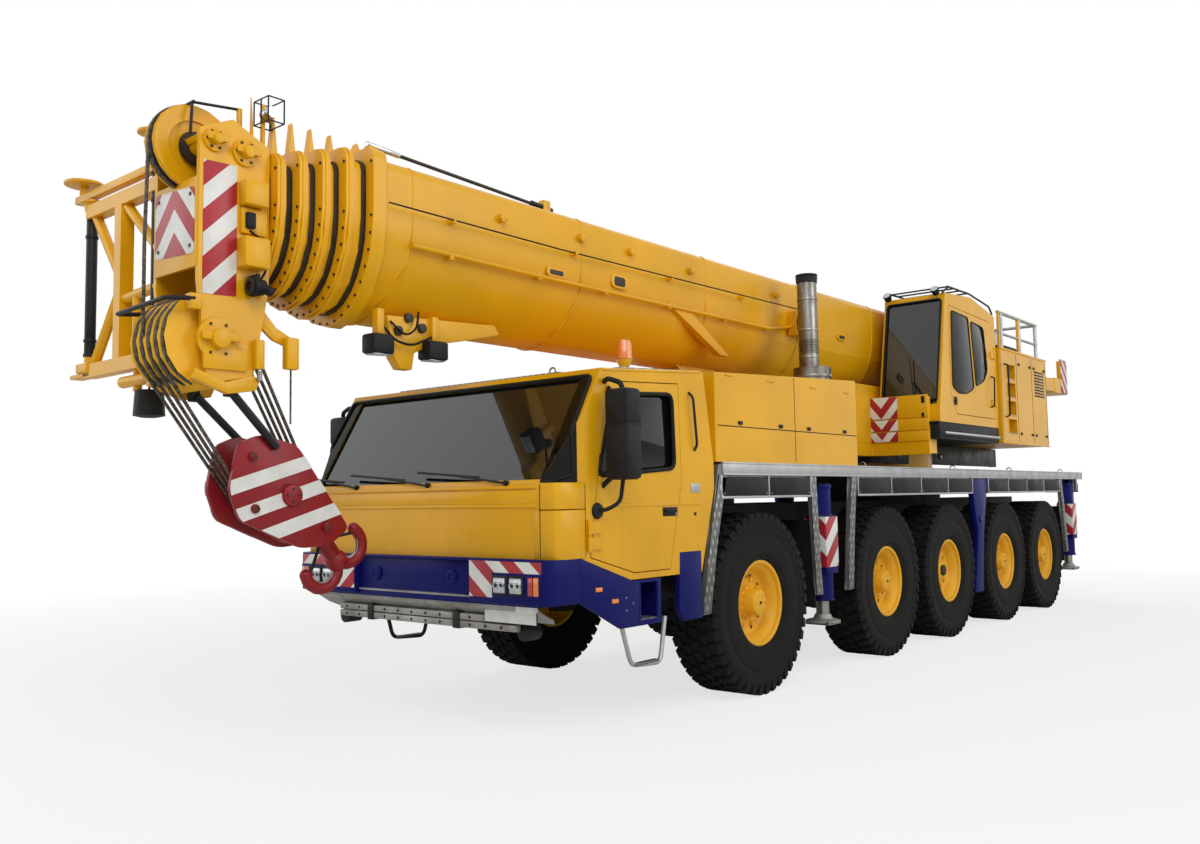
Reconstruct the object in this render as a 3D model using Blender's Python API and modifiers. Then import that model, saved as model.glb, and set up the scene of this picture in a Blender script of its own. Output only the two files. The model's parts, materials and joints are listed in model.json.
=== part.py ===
"""A five-axle mobile crane with its boom down for the road, as separate solids.

The front looks along -Y, the machine's left side is +X and the ground is z = 0.
Places along the machine are measured from the first axle, and the root empty moves
them so that the middle of the whole length is at y = 0. All sizes are in metres.
"""

import math

import bmesh
import bpy
from mathutils import Matrix, Vector

# Carrier, overall
WIDTH = 2.75
SKIN_GAP = 0.0003
MOVING_GAP = 0.006
OVERRUN = 0.05
DECK_TOP = 1.90
DECK_THICK = 0.04
DECK_FRONT = -0.55
DECK_REAR = 9.35
REAR_END = 9.56

# Wheels and axles
TYRE_DIAMETER = 1.49
TYRE_WIDTH = 0.445
RIM_RADIUS = 0.33
HUB_RADIUS = 0.13
HUB_FOOT_SHARE = 1.1
RIM_INNER_SHARE = 0.86
BEAD_SHARE = 1.07
CAP_SHARE = 0.75
TREAD_SHARE = 0.86
SHOULDER_SHARE = 0.93
DISC_THICK = 0.03
HUB_REACH = 0.03
HUB_INNER_SHARE = 0.10
HUB_OUTER_SHARE = 0.31
DISC_DEPTH = 0.12
AXLE_PLACES = (0.0, 2.46, 4.11, 5.98, 7.63)
STEERED_AXLES = (1, 2, 4, 5)
KINGPIN_X = 0.90
KINGPIN_RADIUS = 0.04
SPINDLE_RADIUS = 0.06
SHOULDER_RADIUS = 0.09
JAW_HALF_HEIGHT = 0.15
JAW_THICK = 0.04
JAW_HALF_WIDTH = 0.08
AXLE_RADIUS = 0.09
DIFFERENTIAL_RADIUS = 0.185
STRUT_X = 0.33
STRUT_RADIUS = 0.07

# Chassis frame and engine
FRAME_HALF_WIDTH = 0.42
FRAME_BOTTOM = 0.95
FRAME_TOP = 1.55
FRAME_FRONT = -0.60
FRAME_REAR = 9.20
NOSE_FRONT = -2.35
NOSE_TOP = 1.03
NOSE_BOTTOM = 0.80
ENGINE_FRONT = -0.50
ENGINE_REAR = 1.15
ENGINE_HALF_WIDTH = 0.38
ENGINE_TOP = 2.20
RING_SEAT_RADIUS = 0.80

# Outriggers
FRONT_BEAM_Y = 1.24
REAR_BEAM_Y = 9.07
BEAM_WIDTH = 0.19
BEAM_PITCH = 0.22
BEAM_BOTTOM = 0.80
BEAM_TOP = 1.08
BEAM_INNER_REACH = 1.02
JACK_X = 1.25
JACK_RADIUS = 0.105
JACK_TOP = 1.71
JACK_BOTTOM = 0.66
JACK_ROD_RADIUS = 0.06
JACK_ROD_TOP = 1.60
PAD_BOTTOM = 0.44
PAD_THICK = 0.035
PAD_HALF_SIDE = 0.12
OUTRIGGER_BOX_WALL = 0.03
OUTRIGGER_BOX_X = 1.08

# Deck rail, skirts and mudguard strips
RAIL_BOTTOM = 1.80
RAIL_THICK = 0.035
SKIRT_BOTTOM = 1.61
SKIRT_THICK = 0.02
STRIP_WIDTH = 0.10
STRIP_THICK = 0.045
POST_FRONT = 4.86
POST_REAR = 5.39
POST_LOW = 0.45
POST_THICK = 0.05
POST_SHARES = ((0.0, 1.0), (1.0, 1.0), (0.64, 0.49), (0.45, 0.0), (0.0, 0.0), (0.32, 0.49))
TAIL_BEAM_DEPTH = 0.06
TAIL_BEAM_HEIGHT = 0.28
TAIL_BEAM_SETBACK = 0.06
STRIP_LOW = 0.73

# Carrier cab; each outline below is in shares of its depth and height
CAB_FRONT = -2.524
CAB_SILL = 1.06
SCREEN_BASE = 1.72
ROOF_FRONT_Y = -2.05
ROOF_FRONT_Z = 2.52
ROOF_REAR_Y = -0.82
ROOF_REAR_Z = 2.59
CAB_REAR = -0.70
CAB_WALL = 0.045
CORNER_X = 1.22
CORNER_Y = -2.23
SCREEN_HALF_WIDTH = 1.24
SCREEN_THICK = 0.006
DOOR_HINGE_Y = -2.215
DOOR_LOW = 1.24
DOOR_GAP = 0.007
DOOR_THICK = 0.04
DOOR_SWING_OUTSET = 0.016
HINGE_HEIGHT = 0.10
HINGE_BACK = 0.02
HINGE_LEAF = 0.13
HINGE_SHARES = (0.08, 0.30)
UPPER_HINGE_SHARES = (0.12, 0.60)
MIRROR_REACH = 0.26
MIRROR_DEPTH = 0.09
MIRROR_TOP = 2.34
MIRROR_BOTTOM = 1.77
MIRROR_FRONT = -2.10
MIRROR_REAR = -1.98
MIRROR_ARM = 0.015
MIRROR_FOOT_LOW = (-2.05, 1.70)
MIRROR_FOOT_HIGH = (-1.965, 2.395)
SCREEN_FOOT_SHARE = 0.05
SCREEN_HEAD_SHARE = 0.93
GLASS_SET_SHARE = 0.3
CAB_KNEE_SHARE = 0.75
CAB_HEEL_SHARE = 1.6
DOOR_SHARES = ((0.183, 0.123), (0.293, 0.938), (0.748, 0.966), (0.759, 0.473), (0.671, 0.034), (0.441, 0.034))
WINDOW_SHARES = ((0.2325, 0.493), (0.320, 0.884), (0.704, 0.911), (0.715, 0.534))
BEACON_X = 1.18
BEACON_Y = -1.55
BEACON_RADIUS = 0.062
BEACON_NECK = 0.03
BEACON_HEIGHT = 0.24

# Seats and dashboard
DASH_HALF_WIDTH = 1.10
DASH_FRONT = -2.30
DASH_DEPTH = 0.18
DASH_DROP = 0.10
MAT_THICK = 0.02
SEAT_X = 0.67
SEAT_HALF_WIDTH = 0.25
SEAT_FRONT = -1.78
SEAT_REAR = -1.20
SEAT_HEIGHTS = (0.18, 0.46, 1.08)
SEAT_BACK_THICK = 0.14
SEAT_MARGIN = 0.05
SEAT_LAP = 0.02
STEERING_Y = -1.93
STEERING_RADIUS = 0.21
STEERING_THICK = 0.03
COLUMN_RADIUS = 0.03
COLUMN_RISE = 0.18

# Bumper, with its wings, steps and towing bars
BUMPER_FRONT = -2.60
BUMPER_TOP = 1.238
BUMPER_LOW = 0.945
WING_FRONT = -2.30
WING_REAR = -1.68
WING_THICK = 0.03
WING_BOX_THICK = 0.06
WING_LOW = 0.735
WING_SHARES = ((0.0, 1.0), (0.90, 0.63), (1.0, 0.63), (1.0, 0.0), (0.68, 0.0), (0.0, 0.42))
STEP_REAR = -1.42
STEP_TOP = 1.052
STEP_DEPTH = 0.275
STEP_WALL = 0.025
STEP_LOOP_X = 1.33
STEP_LOOP_SHARES = ((-0.42, 0.15), (-0.08, -0.88), (1.22, -0.90), (1.54, 0.10))
STEP_LOOP_RADIUS = 0.017
RAIL_UNDER_X = 1.12
RAIL_UNDER_WIDTH = 0.06
RAIL_UNDER_LOW = 0.985
PANEL_FRONT = -1.18
PANEL_REAR = -0.90
PANEL_LOW = 0.715
PANEL_TOP = 1.22
PAN_HALF_WIDTH = 1.18
PAN_FRONT = -2.58
PAN_REAR = NOSE_FRONT - SKIN_GAP
PAN_LOW = 0.80
PAN_SHARES = (
    (0.0, 1.0), (0.16, 0.62), (0.54, 0.28), (1.0, 0.0), (1.0, 0.19), (0.58, 0.47), (0.27, 0.81), (0.14, 1.06),
)
TOW_BAR_HALF_WIDTH = 0.96
TOW_BAR_FRONT = -2.505
TOW_BAR_DEPTH = 0.05
TOW_BAR_LOW = 0.752
TOW_BAR_TOP = 0.87
CROSS_HALF_WIDTH = 0.90
CROSS_DEPTH = 0.05
LAMP_PLACES = (0.925, 1.050)
LAMP_HALF = 0.054
LAMP_Z = 1.07
LAMP_DEPTH = 0.024
MARKER_IN = 1.128
MARKER_OUT = 1.190

# Engine housing and exhaust
HOUSING_FRONT = -0.66
HOUSING_REAR = 1.82
HOUSING_FRONT_TOP = 2.61
HOUSING_REAR_TOP = 2.73
HOUSING_WALL = 0.035
TROUGH_HALF_WIDTH = 0.42
TROUGH_FRONT = 0.55
TROUGH_FLOOR = 2.34
MUFFLER_X = 0.80
MUFFLER_Y = 2.03
MUFFLER_RADIUS = 0.19
MUFFLER_TOP = 2.98
STACK_Y = 1.97
STACK_RADIUS = 0.10
STACK_TOP = 3.87

# Superstructure
SLEW_Y = 5.15
RING_RADIUS = 0.72
RING_TOP = 2.12
PLATE_X = 0.52
PLATE_THICK = 0.035
FLOOR_THICK = 0.06
SUPER_FRONT = 3.98
PLATE_FRONT = 3.45
PLATE_NOSE_TOP = 2.92
SUPER_REAR = 8.00
TAIL_REAR = 9.30
TAIL_BEAM_FRONT = 8.66
TAIL_BOTTOM = 3.10
TAIL_TOP = 3.62
TAIL_HALF_WIDTH = 1.30
COVER_TOP = 2.74
COVER_OUT = 1.22
COVER_DEPTH = 0.25
NOSE_SETBACK = 0.3
SHOULDER_REACH = 0.9
SHOULDER_RISE = 0.05
CREST_SHARE = 2.6
TAIL_ROOT = 0.25
TAIL_ROOT_DROP = 0.06
FLOOR_SETBACK = 0.15
TAIL_BEAM_THICK = 0.22
FLOOR_INSET = 0.02
COVER_LAP = 0.01
BRACKET_INSET = 0.1
BRACKET_REACH = 0.4
FOOT_SPREAD_SHARE = 1.6
FOOT_RISE_SHARE = 0.6
CAB_FLOOR_TOP = 2.42
CAB_FLOOR_BOTTOM = 2.26
WINCH_Y = 8.30
WINCH_Z = 3.28
WINCH_RADIUS = 0.20
WINCH_FLANGE = 0.30
WINCH_SHAFT = 0.07

# Upper cab
UPPER_CAB_IN = 0.58
UPPER_CAB_OUT = 1.33
UPPER_CAB_FRONT = 4.06
UPPER_CAB_BROW = 4.36
UPPER_CAB_REAR = 6.02
UPPER_CAB_TOP = 3.98
UPPER_CAB_CROWN = 4.04
UPPER_CAB_REAR_TOP = 3.90
UPPER_CAB_WALL = 0.04
UPPER_DOOR_FRONT = 4.42
UPPER_DOOR_REAR = 5.90
UPPER_DOOR_LOW = 2.56
UPPER_DOOR_HIGH = 3.84
UPPER_DOOR_THICK = 0.03

# Machinery box with its ladder
BOX_FRONT = 6.06
BOX_OUT = 1.365
BOX_LOW = 2.26
BOX_HIGH = 3.50
LADDER_FRONT = 6.30
LADDER_REAR = 6.62
LADDER_DEPTH = 0.16
GUARD_TOP = 4.02
GUARD_RADIUS = 0.022
GUARD_INSET = 0.10
GUARD_FRONT_GAP = 0.30
GUARD_REAR_GAP = 0.08
GUARD_TOP_SHARE = 1.1
LADDER_SPAN_SHARE = 0.78
LADDER_START_SHARE = 0.10
STEP_OPEN_SHARE = 0.82

# Boom
PIVOT_Y = 7.05
PIVOT_Z = 3.42
PIVOT_RADIUS = 0.10
BOSS_SHARE = 1.6
PAD_GAP = 0.0005
BOOM_TOP = 3.92
BOOM_BOTTOM = 2.86
BOOM_HALF_WIDTH = 0.46
BOOM_REAR = 7.38
BOOM_END_THICK = 0.30
SECTION_STEP = 0.04
SECTION_WALL = 0.012
SECTION_REAR = 6.84
SECTION_REAR_STEP = 0.05
CORNER_RADIUS = 0.08
FLANK_SHARE = 0.40
COLLAR_RISE = 0.045
COLLAR_THICK = 0.06
BASE_COLLAR_THICK = 0.11
LUG_HEIGHT = 0.13
LUG_HALF_WIDTH = 0.025
COLLAR_PLACES = (-3.24, -3.45, -3.60, -3.74, -3.87)
TELESCOPE_TRAVEL = 8.1

# Boom head
HEAD_REAR = -3.91
HEAD_FRONT = -4.37
HEAD_OUT = 0.27
HEAD_PLATE = 0.035
HEAD_PEAK_Z = 3.95
HEAD_LOW_Z = 2.33
TOP_SHEAVE_Y = -4.28
TOP_SHEAVE_Z = 3.79
TOP_SHEAVE_RADIUS = 0.27
TOP_SHEAVE_WIDTH = 0.10
LOW_SHEAVE_Y = -4.25
LOW_SHEAVE_Z = 2.60
LOW_SHEAVE_RADIUS = 0.29
LOW_SHEAVE_COUNT = 5
LOW_ROW_HALF_WIDTH = 0.21
SHEAVE_STEPS = 16
SHEAVE_PIN_RADIUS = 0.05
GROOVE_DEPTH = 0.03

# Luffing cylinder
FOOT_Y = 5.00
FOOT_Z = 2.38
EYE_Y = 1.05
EYE_Z = 2.72
BARREL_RADIUS = 0.155
BARREL_LENGTH = 3.62
BARREL_NECK = 0.24
BORE_START = 0.32
ROD_RADIUS = 0.10
ROD_LENGTH = 3.55
EYE_RADIUS = 0.12
EYE_HALF_WIDTH = 0.10
LUG_PLATE = 0.04
LUFF_LUG_DROP = 0.22
LUFF_LUG_LENGTH = 0.62

# Hook block; its places are in shares of its reach from the low sheaves' pin, back and up
BLOCK_REACH = 1.50
CHEEK_SHARES = (
    (0.147, -0.40), (0.247, -0.36), (0.42, -0.40), (0.687, -0.76),
    (0.593, -0.827), (0.447, -0.84), (0.153, -0.713), (0.107, -0.587),
)
CROSSHEAD_SHARES = ((0.30, -0.747), (0.567, -0.653), (0.66, -0.753), (0.567, -0.813), (0.447, -0.82))
BLOCK_PIN_SHARE = (0.367, -0.60)
SHANK_SHARE = (0.553, -0.733)
CHEEK_IN = 0.115
CHEEK_THICK = 0.035
BLOCK_PIN_RADIUS = 0.07
BLOCK_PIN_PROUD = 0.015
BLOCK_SHEAVE_RADIUS = 0.235
BLOCK_SHEAVE_COUNT = 4
BLOCK_ROW_HALF_WIDTH = 0.108
HOOK_TILT = math.radians(38.0)
HOOK_LENGTH = 0.30
HOOK_SHANK_RADIUS = 0.055
HOOK_RADIUS = 0.125
HOOK_WIRE = 0.04
ROPE_RADIUS = 0.011

# Jib bracket at the head
BRACKET_Y = -4.30
BRACKET_POST_X = -0.82
BRACKET_OUT_X = -1.30
BRACKET_TOP = 3.69
BRACKET_LOW = 2.50
BRACKET_TUBE = 0.045
BRACKET_ROD = 0.035

# Round forms
TYRE_STEPS = 18
WHEEL_STEPS = 20
ROUND_SIDES = 12
SMALL_SIDES = 8
ROPE_SIDES = 6
BELLY_STEPS = 8

HALF_WIDTH = WIDTH / 2
TYRE_RADIUS = TYRE_DIAMETER / 2
FRONT_REACH = TOP_SHEAVE_Y - TOP_SHEAVE_RADIUS
MIDDLE_Y = (FRONT_REACH + REAR_END) / 2

COLOURS = {
    # name: (red, green, blue, roughness, metallic)
    "yellow_paint": (0.60, 0.30, 0.02, 0.4, 0.0),
    "blue_paint": (0.02, 0.02, 0.16, 0.4, 0.0),
    "frame_paint": (0.03, 0.03, 0.035, 0.6, 0.0),
    "aluminium": (0.55, 0.55, 0.53, 0.35, 1.0),
    "rubber": (0.02, 0.02, 0.02, 0.85, 0.0),
    "glass": (0.02, 0.03, 0.03, 0.08, 0.0),
    "steel": (0.35, 0.33, 0.30, 0.35, 1.0),
    "red_paint": (0.30, 0.01, 0.01, 0.45, 0.0),
    "cab_trim": (0.05, 0.05, 0.05, 0.7, 0.0),
}


def clear_scene():
    for old in list(bpy.data.objects):
        bpy.data.objects.remove(old)


def make_collection(name):
    collection = bpy.data.collections.new(name)
    bpy.context.scene.collection.children.link(collection)
    return collection


clear_scene()
CRANE = make_collection("mobile_crane")
SHAPES = make_collection("shapes_in_work")
ROOT = bpy.data.objects.new("crane_root", None)
CRANE.objects.link(ROOT)
ROOT.location = (0, -MIDDLE_Y, 0)
MATERIALS = {}


def material(name):
    if name not in MATERIALS:
        red, green, blue, roughness, metallic = COLOURS[name]
        made = bpy.data.materials.new(name)
        made.use_nodes = True
        shader = made.node_tree.nodes["Principled BSDF"]
        shader.inputs["Base Color"].default_value = (red, green, blue, 1)
        shader.inputs["Roughness"].default_value = roughness
        shader.inputs["Metallic"].default_value = metallic
        MATERIALS[name] = made
    return MATERIALS[name]


def shape(mesh):
    """A working object that later joins or cuts a piece."""
    made = bpy.data.objects.new("shape", mesh)
    SHAPES.objects.link(made)
    made.hide_render = True
    made.display_type = "WIRE"
    return made


def from_bmesh(built):
    bmesh.ops.recalc_face_normals(built, faces=built.faces)
    mesh = bpy.data.meshes.new("shape")
    built.to_mesh(mesh)
    built.free()
    return shape(mesh)


def evaluated(source):
    """The source object as a plain mesh in world space, with its doubles merged."""
    bpy.context.view_layer.update()
    graph = bpy.context.evaluated_depsgraph_get()
    mesh = bpy.data.meshes.new_from_object(source.evaluated_get(graph))
    mesh.transform(source.matrix_world)
    built = bmesh.new()
    built.from_mesh(mesh)
    bmesh.ops.remove_doubles(built, verts=built.verts, dist=1e-5)
    loose = [edge for edge in built.edges if not edge.link_faces]
    bmesh.ops.delete(built, geom=loose, context="EDGES")
    bpy.data.meshes.remove(mesh)
    bpy.data.objects.remove(source)
    return from_bmesh(built)


def block(low, high):
    """A box between two corners, given in any order."""
    corners = [sorted(pair) for pair in zip(low, high)]
    size = [pair[1] - pair[0] for pair in corners]
    middle = [(pair[0] + pair[1]) / 2 for pair in corners]
    built = bmesh.new()
    bmesh.ops.create_cube(built, size=1)
    bmesh.ops.scale(built, vec=size, verts=built.verts)
    bmesh.ops.translate(built, vec=middle, verts=built.verts)
    return from_bmesh(built)


def bar(start, end, radius, sides=ROUND_SIDES, end_radius=None):
    """A round bar, or a cone, from one point to another."""
    start, end = Vector(start), Vector(end)
    run = end - start
    built = bmesh.new()
    bmesh.ops.create_cone(
        built,
        cap_ends=True,
        segments=sides,
        radius1=radius,
        radius2=radius if end_radius is None else end_radius,
        depth=run.length,
    )
    turn = run.to_track_quat("Z", "Y").to_matrix().to_4x4()
    place = Matrix.Translation((start + end) / 2) @ turn
    bmesh.ops.transform(built, matrix=place, verts=built.verts)
    return from_bmesh(built)


def ball(centre, radius):
    built = bmesh.new()
    bmesh.ops.create_uvsphere(built, u_segments=ROUND_SIDES, v_segments=SMALL_SIDES, radius=radius)
    bmesh.ops.translate(built, vec=centre, verts=built.verts)
    return from_bmesh(built)


PLANES = {
    # axis of thickness: which world axes the outline's two numbers are on
    "X": Matrix(((0, 0, 1, 0), (1, 0, 0, 0), (0, 1, 0, 0), (0, 0, 0, 1))),
    "Y": Matrix(((1, 0, 0, 0), (0, 0, -1, 0), (0, 1, 0, 0), (0, 0, 0, 1))),
    "Z": Matrix.Identity(4),
}


def slab(outline, axis, low, high, holes=()):
    """A flat outline with thickness: (y, z) points on X, (x, z) on Y and (x, y) on Z."""
    curve = bpy.data.curves.new("outline", "CURVE")
    curve.dimensions = "2D"
    curve.fill_mode = "BOTH"
    curve.extrude = abs(high - low) / 2
    for points in (outline, *holes):
        spline = curve.splines.new("POLY")
        spline.points.add(len(points) - 1)
        for point, place in zip(spline.points, points):
            point.co = (place[0], place[1], 0, 1)
        spline.use_cyclic_u = True
    made = bpy.data.objects.new("outline", curve)
    SHAPES.objects.link(made)
    middle = (low + high) / 2
    shift = -middle if axis == "Y" else middle
    made.matrix_world = PLANES[axis] @ Matrix.Translation((0, 0, shift))
    return evaluated(made)


def tube(points, radius, sides=SMALL_SIDES):
    """A round tube along straight runs."""
    curve = bpy.data.curves.new("route", "CURVE")
    curve.dimensions = "3D"
    curve.bevel_depth = radius
    curve.bevel_resolution = max(0, sides // 4 - 1)
    curve.use_fill_caps = True
    spline = curve.splines.new("POLY")
    spline.points.add(len(points) - 1)
    for point, place in zip(spline.points, points):
        point.co = (*place, 1)
    made = bpy.data.objects.new("route", curve)
    SHAPES.objects.link(made)
    return evaluated(made)


def turned(profile, centre, axis="X", steps=WHEEL_STEPS, phase=0):
    """A turned form: (along, radius) points from one end of the axis to the other."""
    built = bmesh.new()
    verts = [built.verts.new((radius, 0, along)) for along, radius in profile]
    for first, second in zip(verts, verts[1:]):
        built.edges.new((first, second))
    mesh = bpy.data.meshes.new("profile")
    built.to_mesh(mesh)
    built.free()
    made = shape(mesh)
    screw = made.modifiers.new("Turn", "SCREW")
    screw.steps = steps
    screw.render_steps = steps
    screw.use_merge_vertices = True
    screw.merge_threshold = 0.0001
    onto = {
        "X": Matrix.Rotation(math.pi / 2, 4, "Y"),
        "Y": Matrix.Rotation(-math.pi / 2, 4, "X"),
        "Z": Matrix.Identity(4),
    }
    made.matrix_world = Matrix.Translation(centre) @ onto[axis] @ Matrix.Rotation(phase, 4, "Z")
    return evaluated(made)


def turned_about(source, angle, centre, axis="X"):
    """The shape turned about an axis through a point."""
    place = Matrix.Translation(centre) @ Matrix.Rotation(angle, 4, axis) @ Matrix.Translation(-Vector(centre))
    source.data.transform(place)
    return source


def joined(pieces, cuts=()):
    """One shape from the union of the pieces less the cuts."""
    base = pieces[0]
    for other, operation in [(p, "UNION") for p in pieces[1:]] + [(c, "DIFFERENCE") for c in cuts]:
        step = base.modifiers.new(operation.lower(), "BOOLEAN")
        step.operation = operation
        step.solver = "EXACT"
        step.object = other
    if base.modifiers:
        made = evaluated(base)
        for other in (*pieces[1:], *cuts):
            bpy.data.objects.remove(other)
        return made
    return base


def common(first, second):
    """The space that two shapes share."""
    step = first.modifiers.new("common", "BOOLEAN")
    step.operation = "INTERSECT"
    step.solver = "EXACT"
    step.object = second
    made = evaluated(first)
    bpy.data.objects.remove(second)
    return made


def piece(name, finish, pieces, cuts=(), pivot=(0, 0, 0)):
    """A named sub-part, with its origin on its joint's axis."""
    made = joined(list(pieces), cuts)
    made.data.transform(Matrix.Translation(-Vector(pivot)))
    made.name = name
    made.data.name = name
    SHAPES.objects.unlink(made)
    CRANE.objects.link(made)
    made.hide_render = False
    made.display_type = "TEXTURED"
    made.parent = ROOT
    made.location = pivot
    made.data.materials.clear()
    made.data.materials.append(material(finish))
    made.data.shade_smooth()
    made.data.set_sharp_from_angle(angle=math.radians(35))
    return made


def arc(centre, radius, start, end, steps):
    """Points on an arc, both ends included, with angles in degrees."""
    return [
        (
            centre[0] + radius * math.cos(math.radians(start + (end - start) * i / steps)),
            centre[1] + radius * math.sin(math.radians(start + (end - start) * i / steps)),
        )
        for i in range(steps + 1)
    ]


def boom_outline(half_width, top, bottom):
    """A boom section: flat top, straight flanks and a round belly, as (x, z) points."""
    height = top - bottom
    knee = top - FLANK_SHARE * height
    corner = min(CORNER_RADIUS, half_width)
    belly = []
    for i in range(BELLY_STEPS + 1):
        angle = math.pi * i / BELLY_STEPS
        belly.append((half_width * math.cos(angle), knee - (knee - bottom) * math.sin(angle)))
    left = arc((half_width - corner, top - corner), corner, 90, 0, 3)
    right = arc((corner - half_width, top - corner), corner, 180, 90, 3)
    return left + belly + right


def section_outline(index, inset=0):
    """The outline of a section counted from the base, drawn in by the inset."""
    step = index * SECTION_STEP + inset
    return boom_outline(BOOM_HALF_WIDTH - step, BOOM_TOP - step, BOOM_BOTTOM + step)


def sides():
    return (("left", 1), ("right", -1))


def tyre_middle(side):
    return side * (HALF_WIDTH - TYRE_WIDTH / 2)


def hub_seat():
    """How far out the wheel's inner hub face stands, where the axle's shoulder meets it."""
    return tyre_middle(1) - TYRE_WIDTH * HUB_INNER_SHARE


def wheel_profile():
    """Wheel as (outward, radius) points from the hub cap's middle round to the bore's end.

    The tread's facets, and not their corners, touch the tyre's radius, so it stands flat."""
    tread_radius = TYRE_RADIUS / math.cos(math.pi / TYRE_STEPS)
    half = TYRE_WIDTH / 2
    bead = RIM_RADIUS * BEAD_SHARE
    bore = SPINDLE_RADIUS + MOVING_GAP
    face = half - DISC_DEPTH
    cap = half * CAP_SHARE + HUB_REACH
    tread = half * TREAD_SHARE
    shoulder = TYRE_RADIUS * SHOULDER_SHARE
    hub_inner = -TYRE_WIDTH * HUB_INNER_SHARE
    hub_outer = TYRE_WIDTH * HUB_OUTER_SHARE
    back = face - DISC_THICK
    return [
        (cap, 0),
        (cap, HUB_RADIUS),
        (face, HUB_RADIUS * HUB_FOOT_SHARE),
        (face, RIM_RADIUS * RIM_INNER_SHARE),
        (half, bead),
        (half, shoulder),
        (tread, tread_radius),
        (-tread, tread_radius),
        (-half, shoulder),
        (-half, bead),
        (back, RIM_RADIUS * RIM_INNER_SHARE),
        (back, HUB_RADIUS),
        (hub_inner, HUB_RADIUS),
        (hub_inner, bore),
        (hub_outer, bore),
        (hub_outer, 0),
    ]


def make_wheels():
    flat = math.pi / TYRE_STEPS
    for number, place in enumerate(AXLE_PLACES, start=1):
        for word, side in sides():
            centre = (tyre_middle(side), place, TYRE_RADIUS)
            profile = [(side * along, radius) for along, radius in wheel_profile()]
            piece(
                f"wheel_{number}_{word}",
                "rubber",
                [turned(profile, centre, steps=TYRE_STEPS, phase=flat)],
                pivot=centre,
            )


def make_axles():
    strut_top = FRAME_BOTTOM - SKIN_GAP
    spindle_end = tyre_middle(1) + TYRE_WIDTH * HUB_OUTER_SHARE - MOVING_GAP
    for number, place in enumerate(AXLE_PLACES, start=1):
        steered = number in STEERED_AXLES
        beam_end = KINGPIN_X - JAW_HALF_WIDTH - JAW_THICK / 2 if steered else hub_seat() - SKIN_GAP
        profile = [(-beam_end, 0), (-beam_end, AXLE_RADIUS), (beam_end, AXLE_RADIUS), (beam_end, 0)]
        if not steered:
            profile = [
                (-spindle_end, 0),
                (-spindle_end, SPINDLE_RADIUS),
                (-beam_end, SPINDLE_RADIUS),
                *profile[1:3],
                (beam_end, SPINDLE_RADIUS),
                (spindle_end, SPINDLE_RADIUS),
                (spindle_end, 0),
            ]
        middle = (0, place, TYRE_RADIUS)
        pieces = [turned(profile, middle, steps=ROUND_SIDES), ball(middle, DIFFERENTIAL_RADIUS)]
        for _, side in sides():
            x = side * STRUT_X
            pieces.append(bar((x, place, TYRE_RADIUS), (x, place, strut_top), STRUT_RADIUS, SMALL_SIDES))
            if steered:
                pieces.append(slab(jaw_outline(side), "Y", place - JAW_HALF_WIDTH, place + JAW_HALF_WIDTH))
        piece(f"axle_{number}", "frame_paint", pieces)
        if steered:
            make_knuckles(number, place, spindle_end)


def jaw_outline(side):
    """The fork that holds a knuckle's kingpin, as (x, z) points."""
    outer = KINGPIN_X + JAW_HALF_WIDTH
    web = KINGPIN_X - JAW_HALF_WIDTH
    inner = web - JAW_THICK
    half = JAW_HALF_HEIGHT
    whole = half + JAW_THICK
    points = ((inner, whole), (outer, whole), (outer, half), (web, half))
    mirrored = tuple((x, -z) for x, z in reversed(points))
    return [(side * x, TYRE_RADIUS + z) for x, z in points + mirrored]


def make_knuckles(number, place, spindle_end):
    half = JAW_HALF_HEIGHT - SKIN_GAP
    shoulder = hub_seat() - SKIN_GAP
    for word, side in sides():
        x = side * KINGPIN_X
        pieces = [
            bar((x, place, TYRE_RADIUS - half), (x, place, TYRE_RADIUS + half), KINGPIN_RADIUS * 1.3),
            bar((x, place, TYRE_RADIUS), (side * spindle_end, place, TYRE_RADIUS), SPINDLE_RADIUS),
            bar((x, place, TYRE_RADIUS), (side * shoulder, place, TYRE_RADIUS), SHOULDER_RADIUS),
        ]
        piece(f"knuckle_{number}_{word}", "steel", pieces, pivot=(x, place, TYRE_RADIUS))


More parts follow.
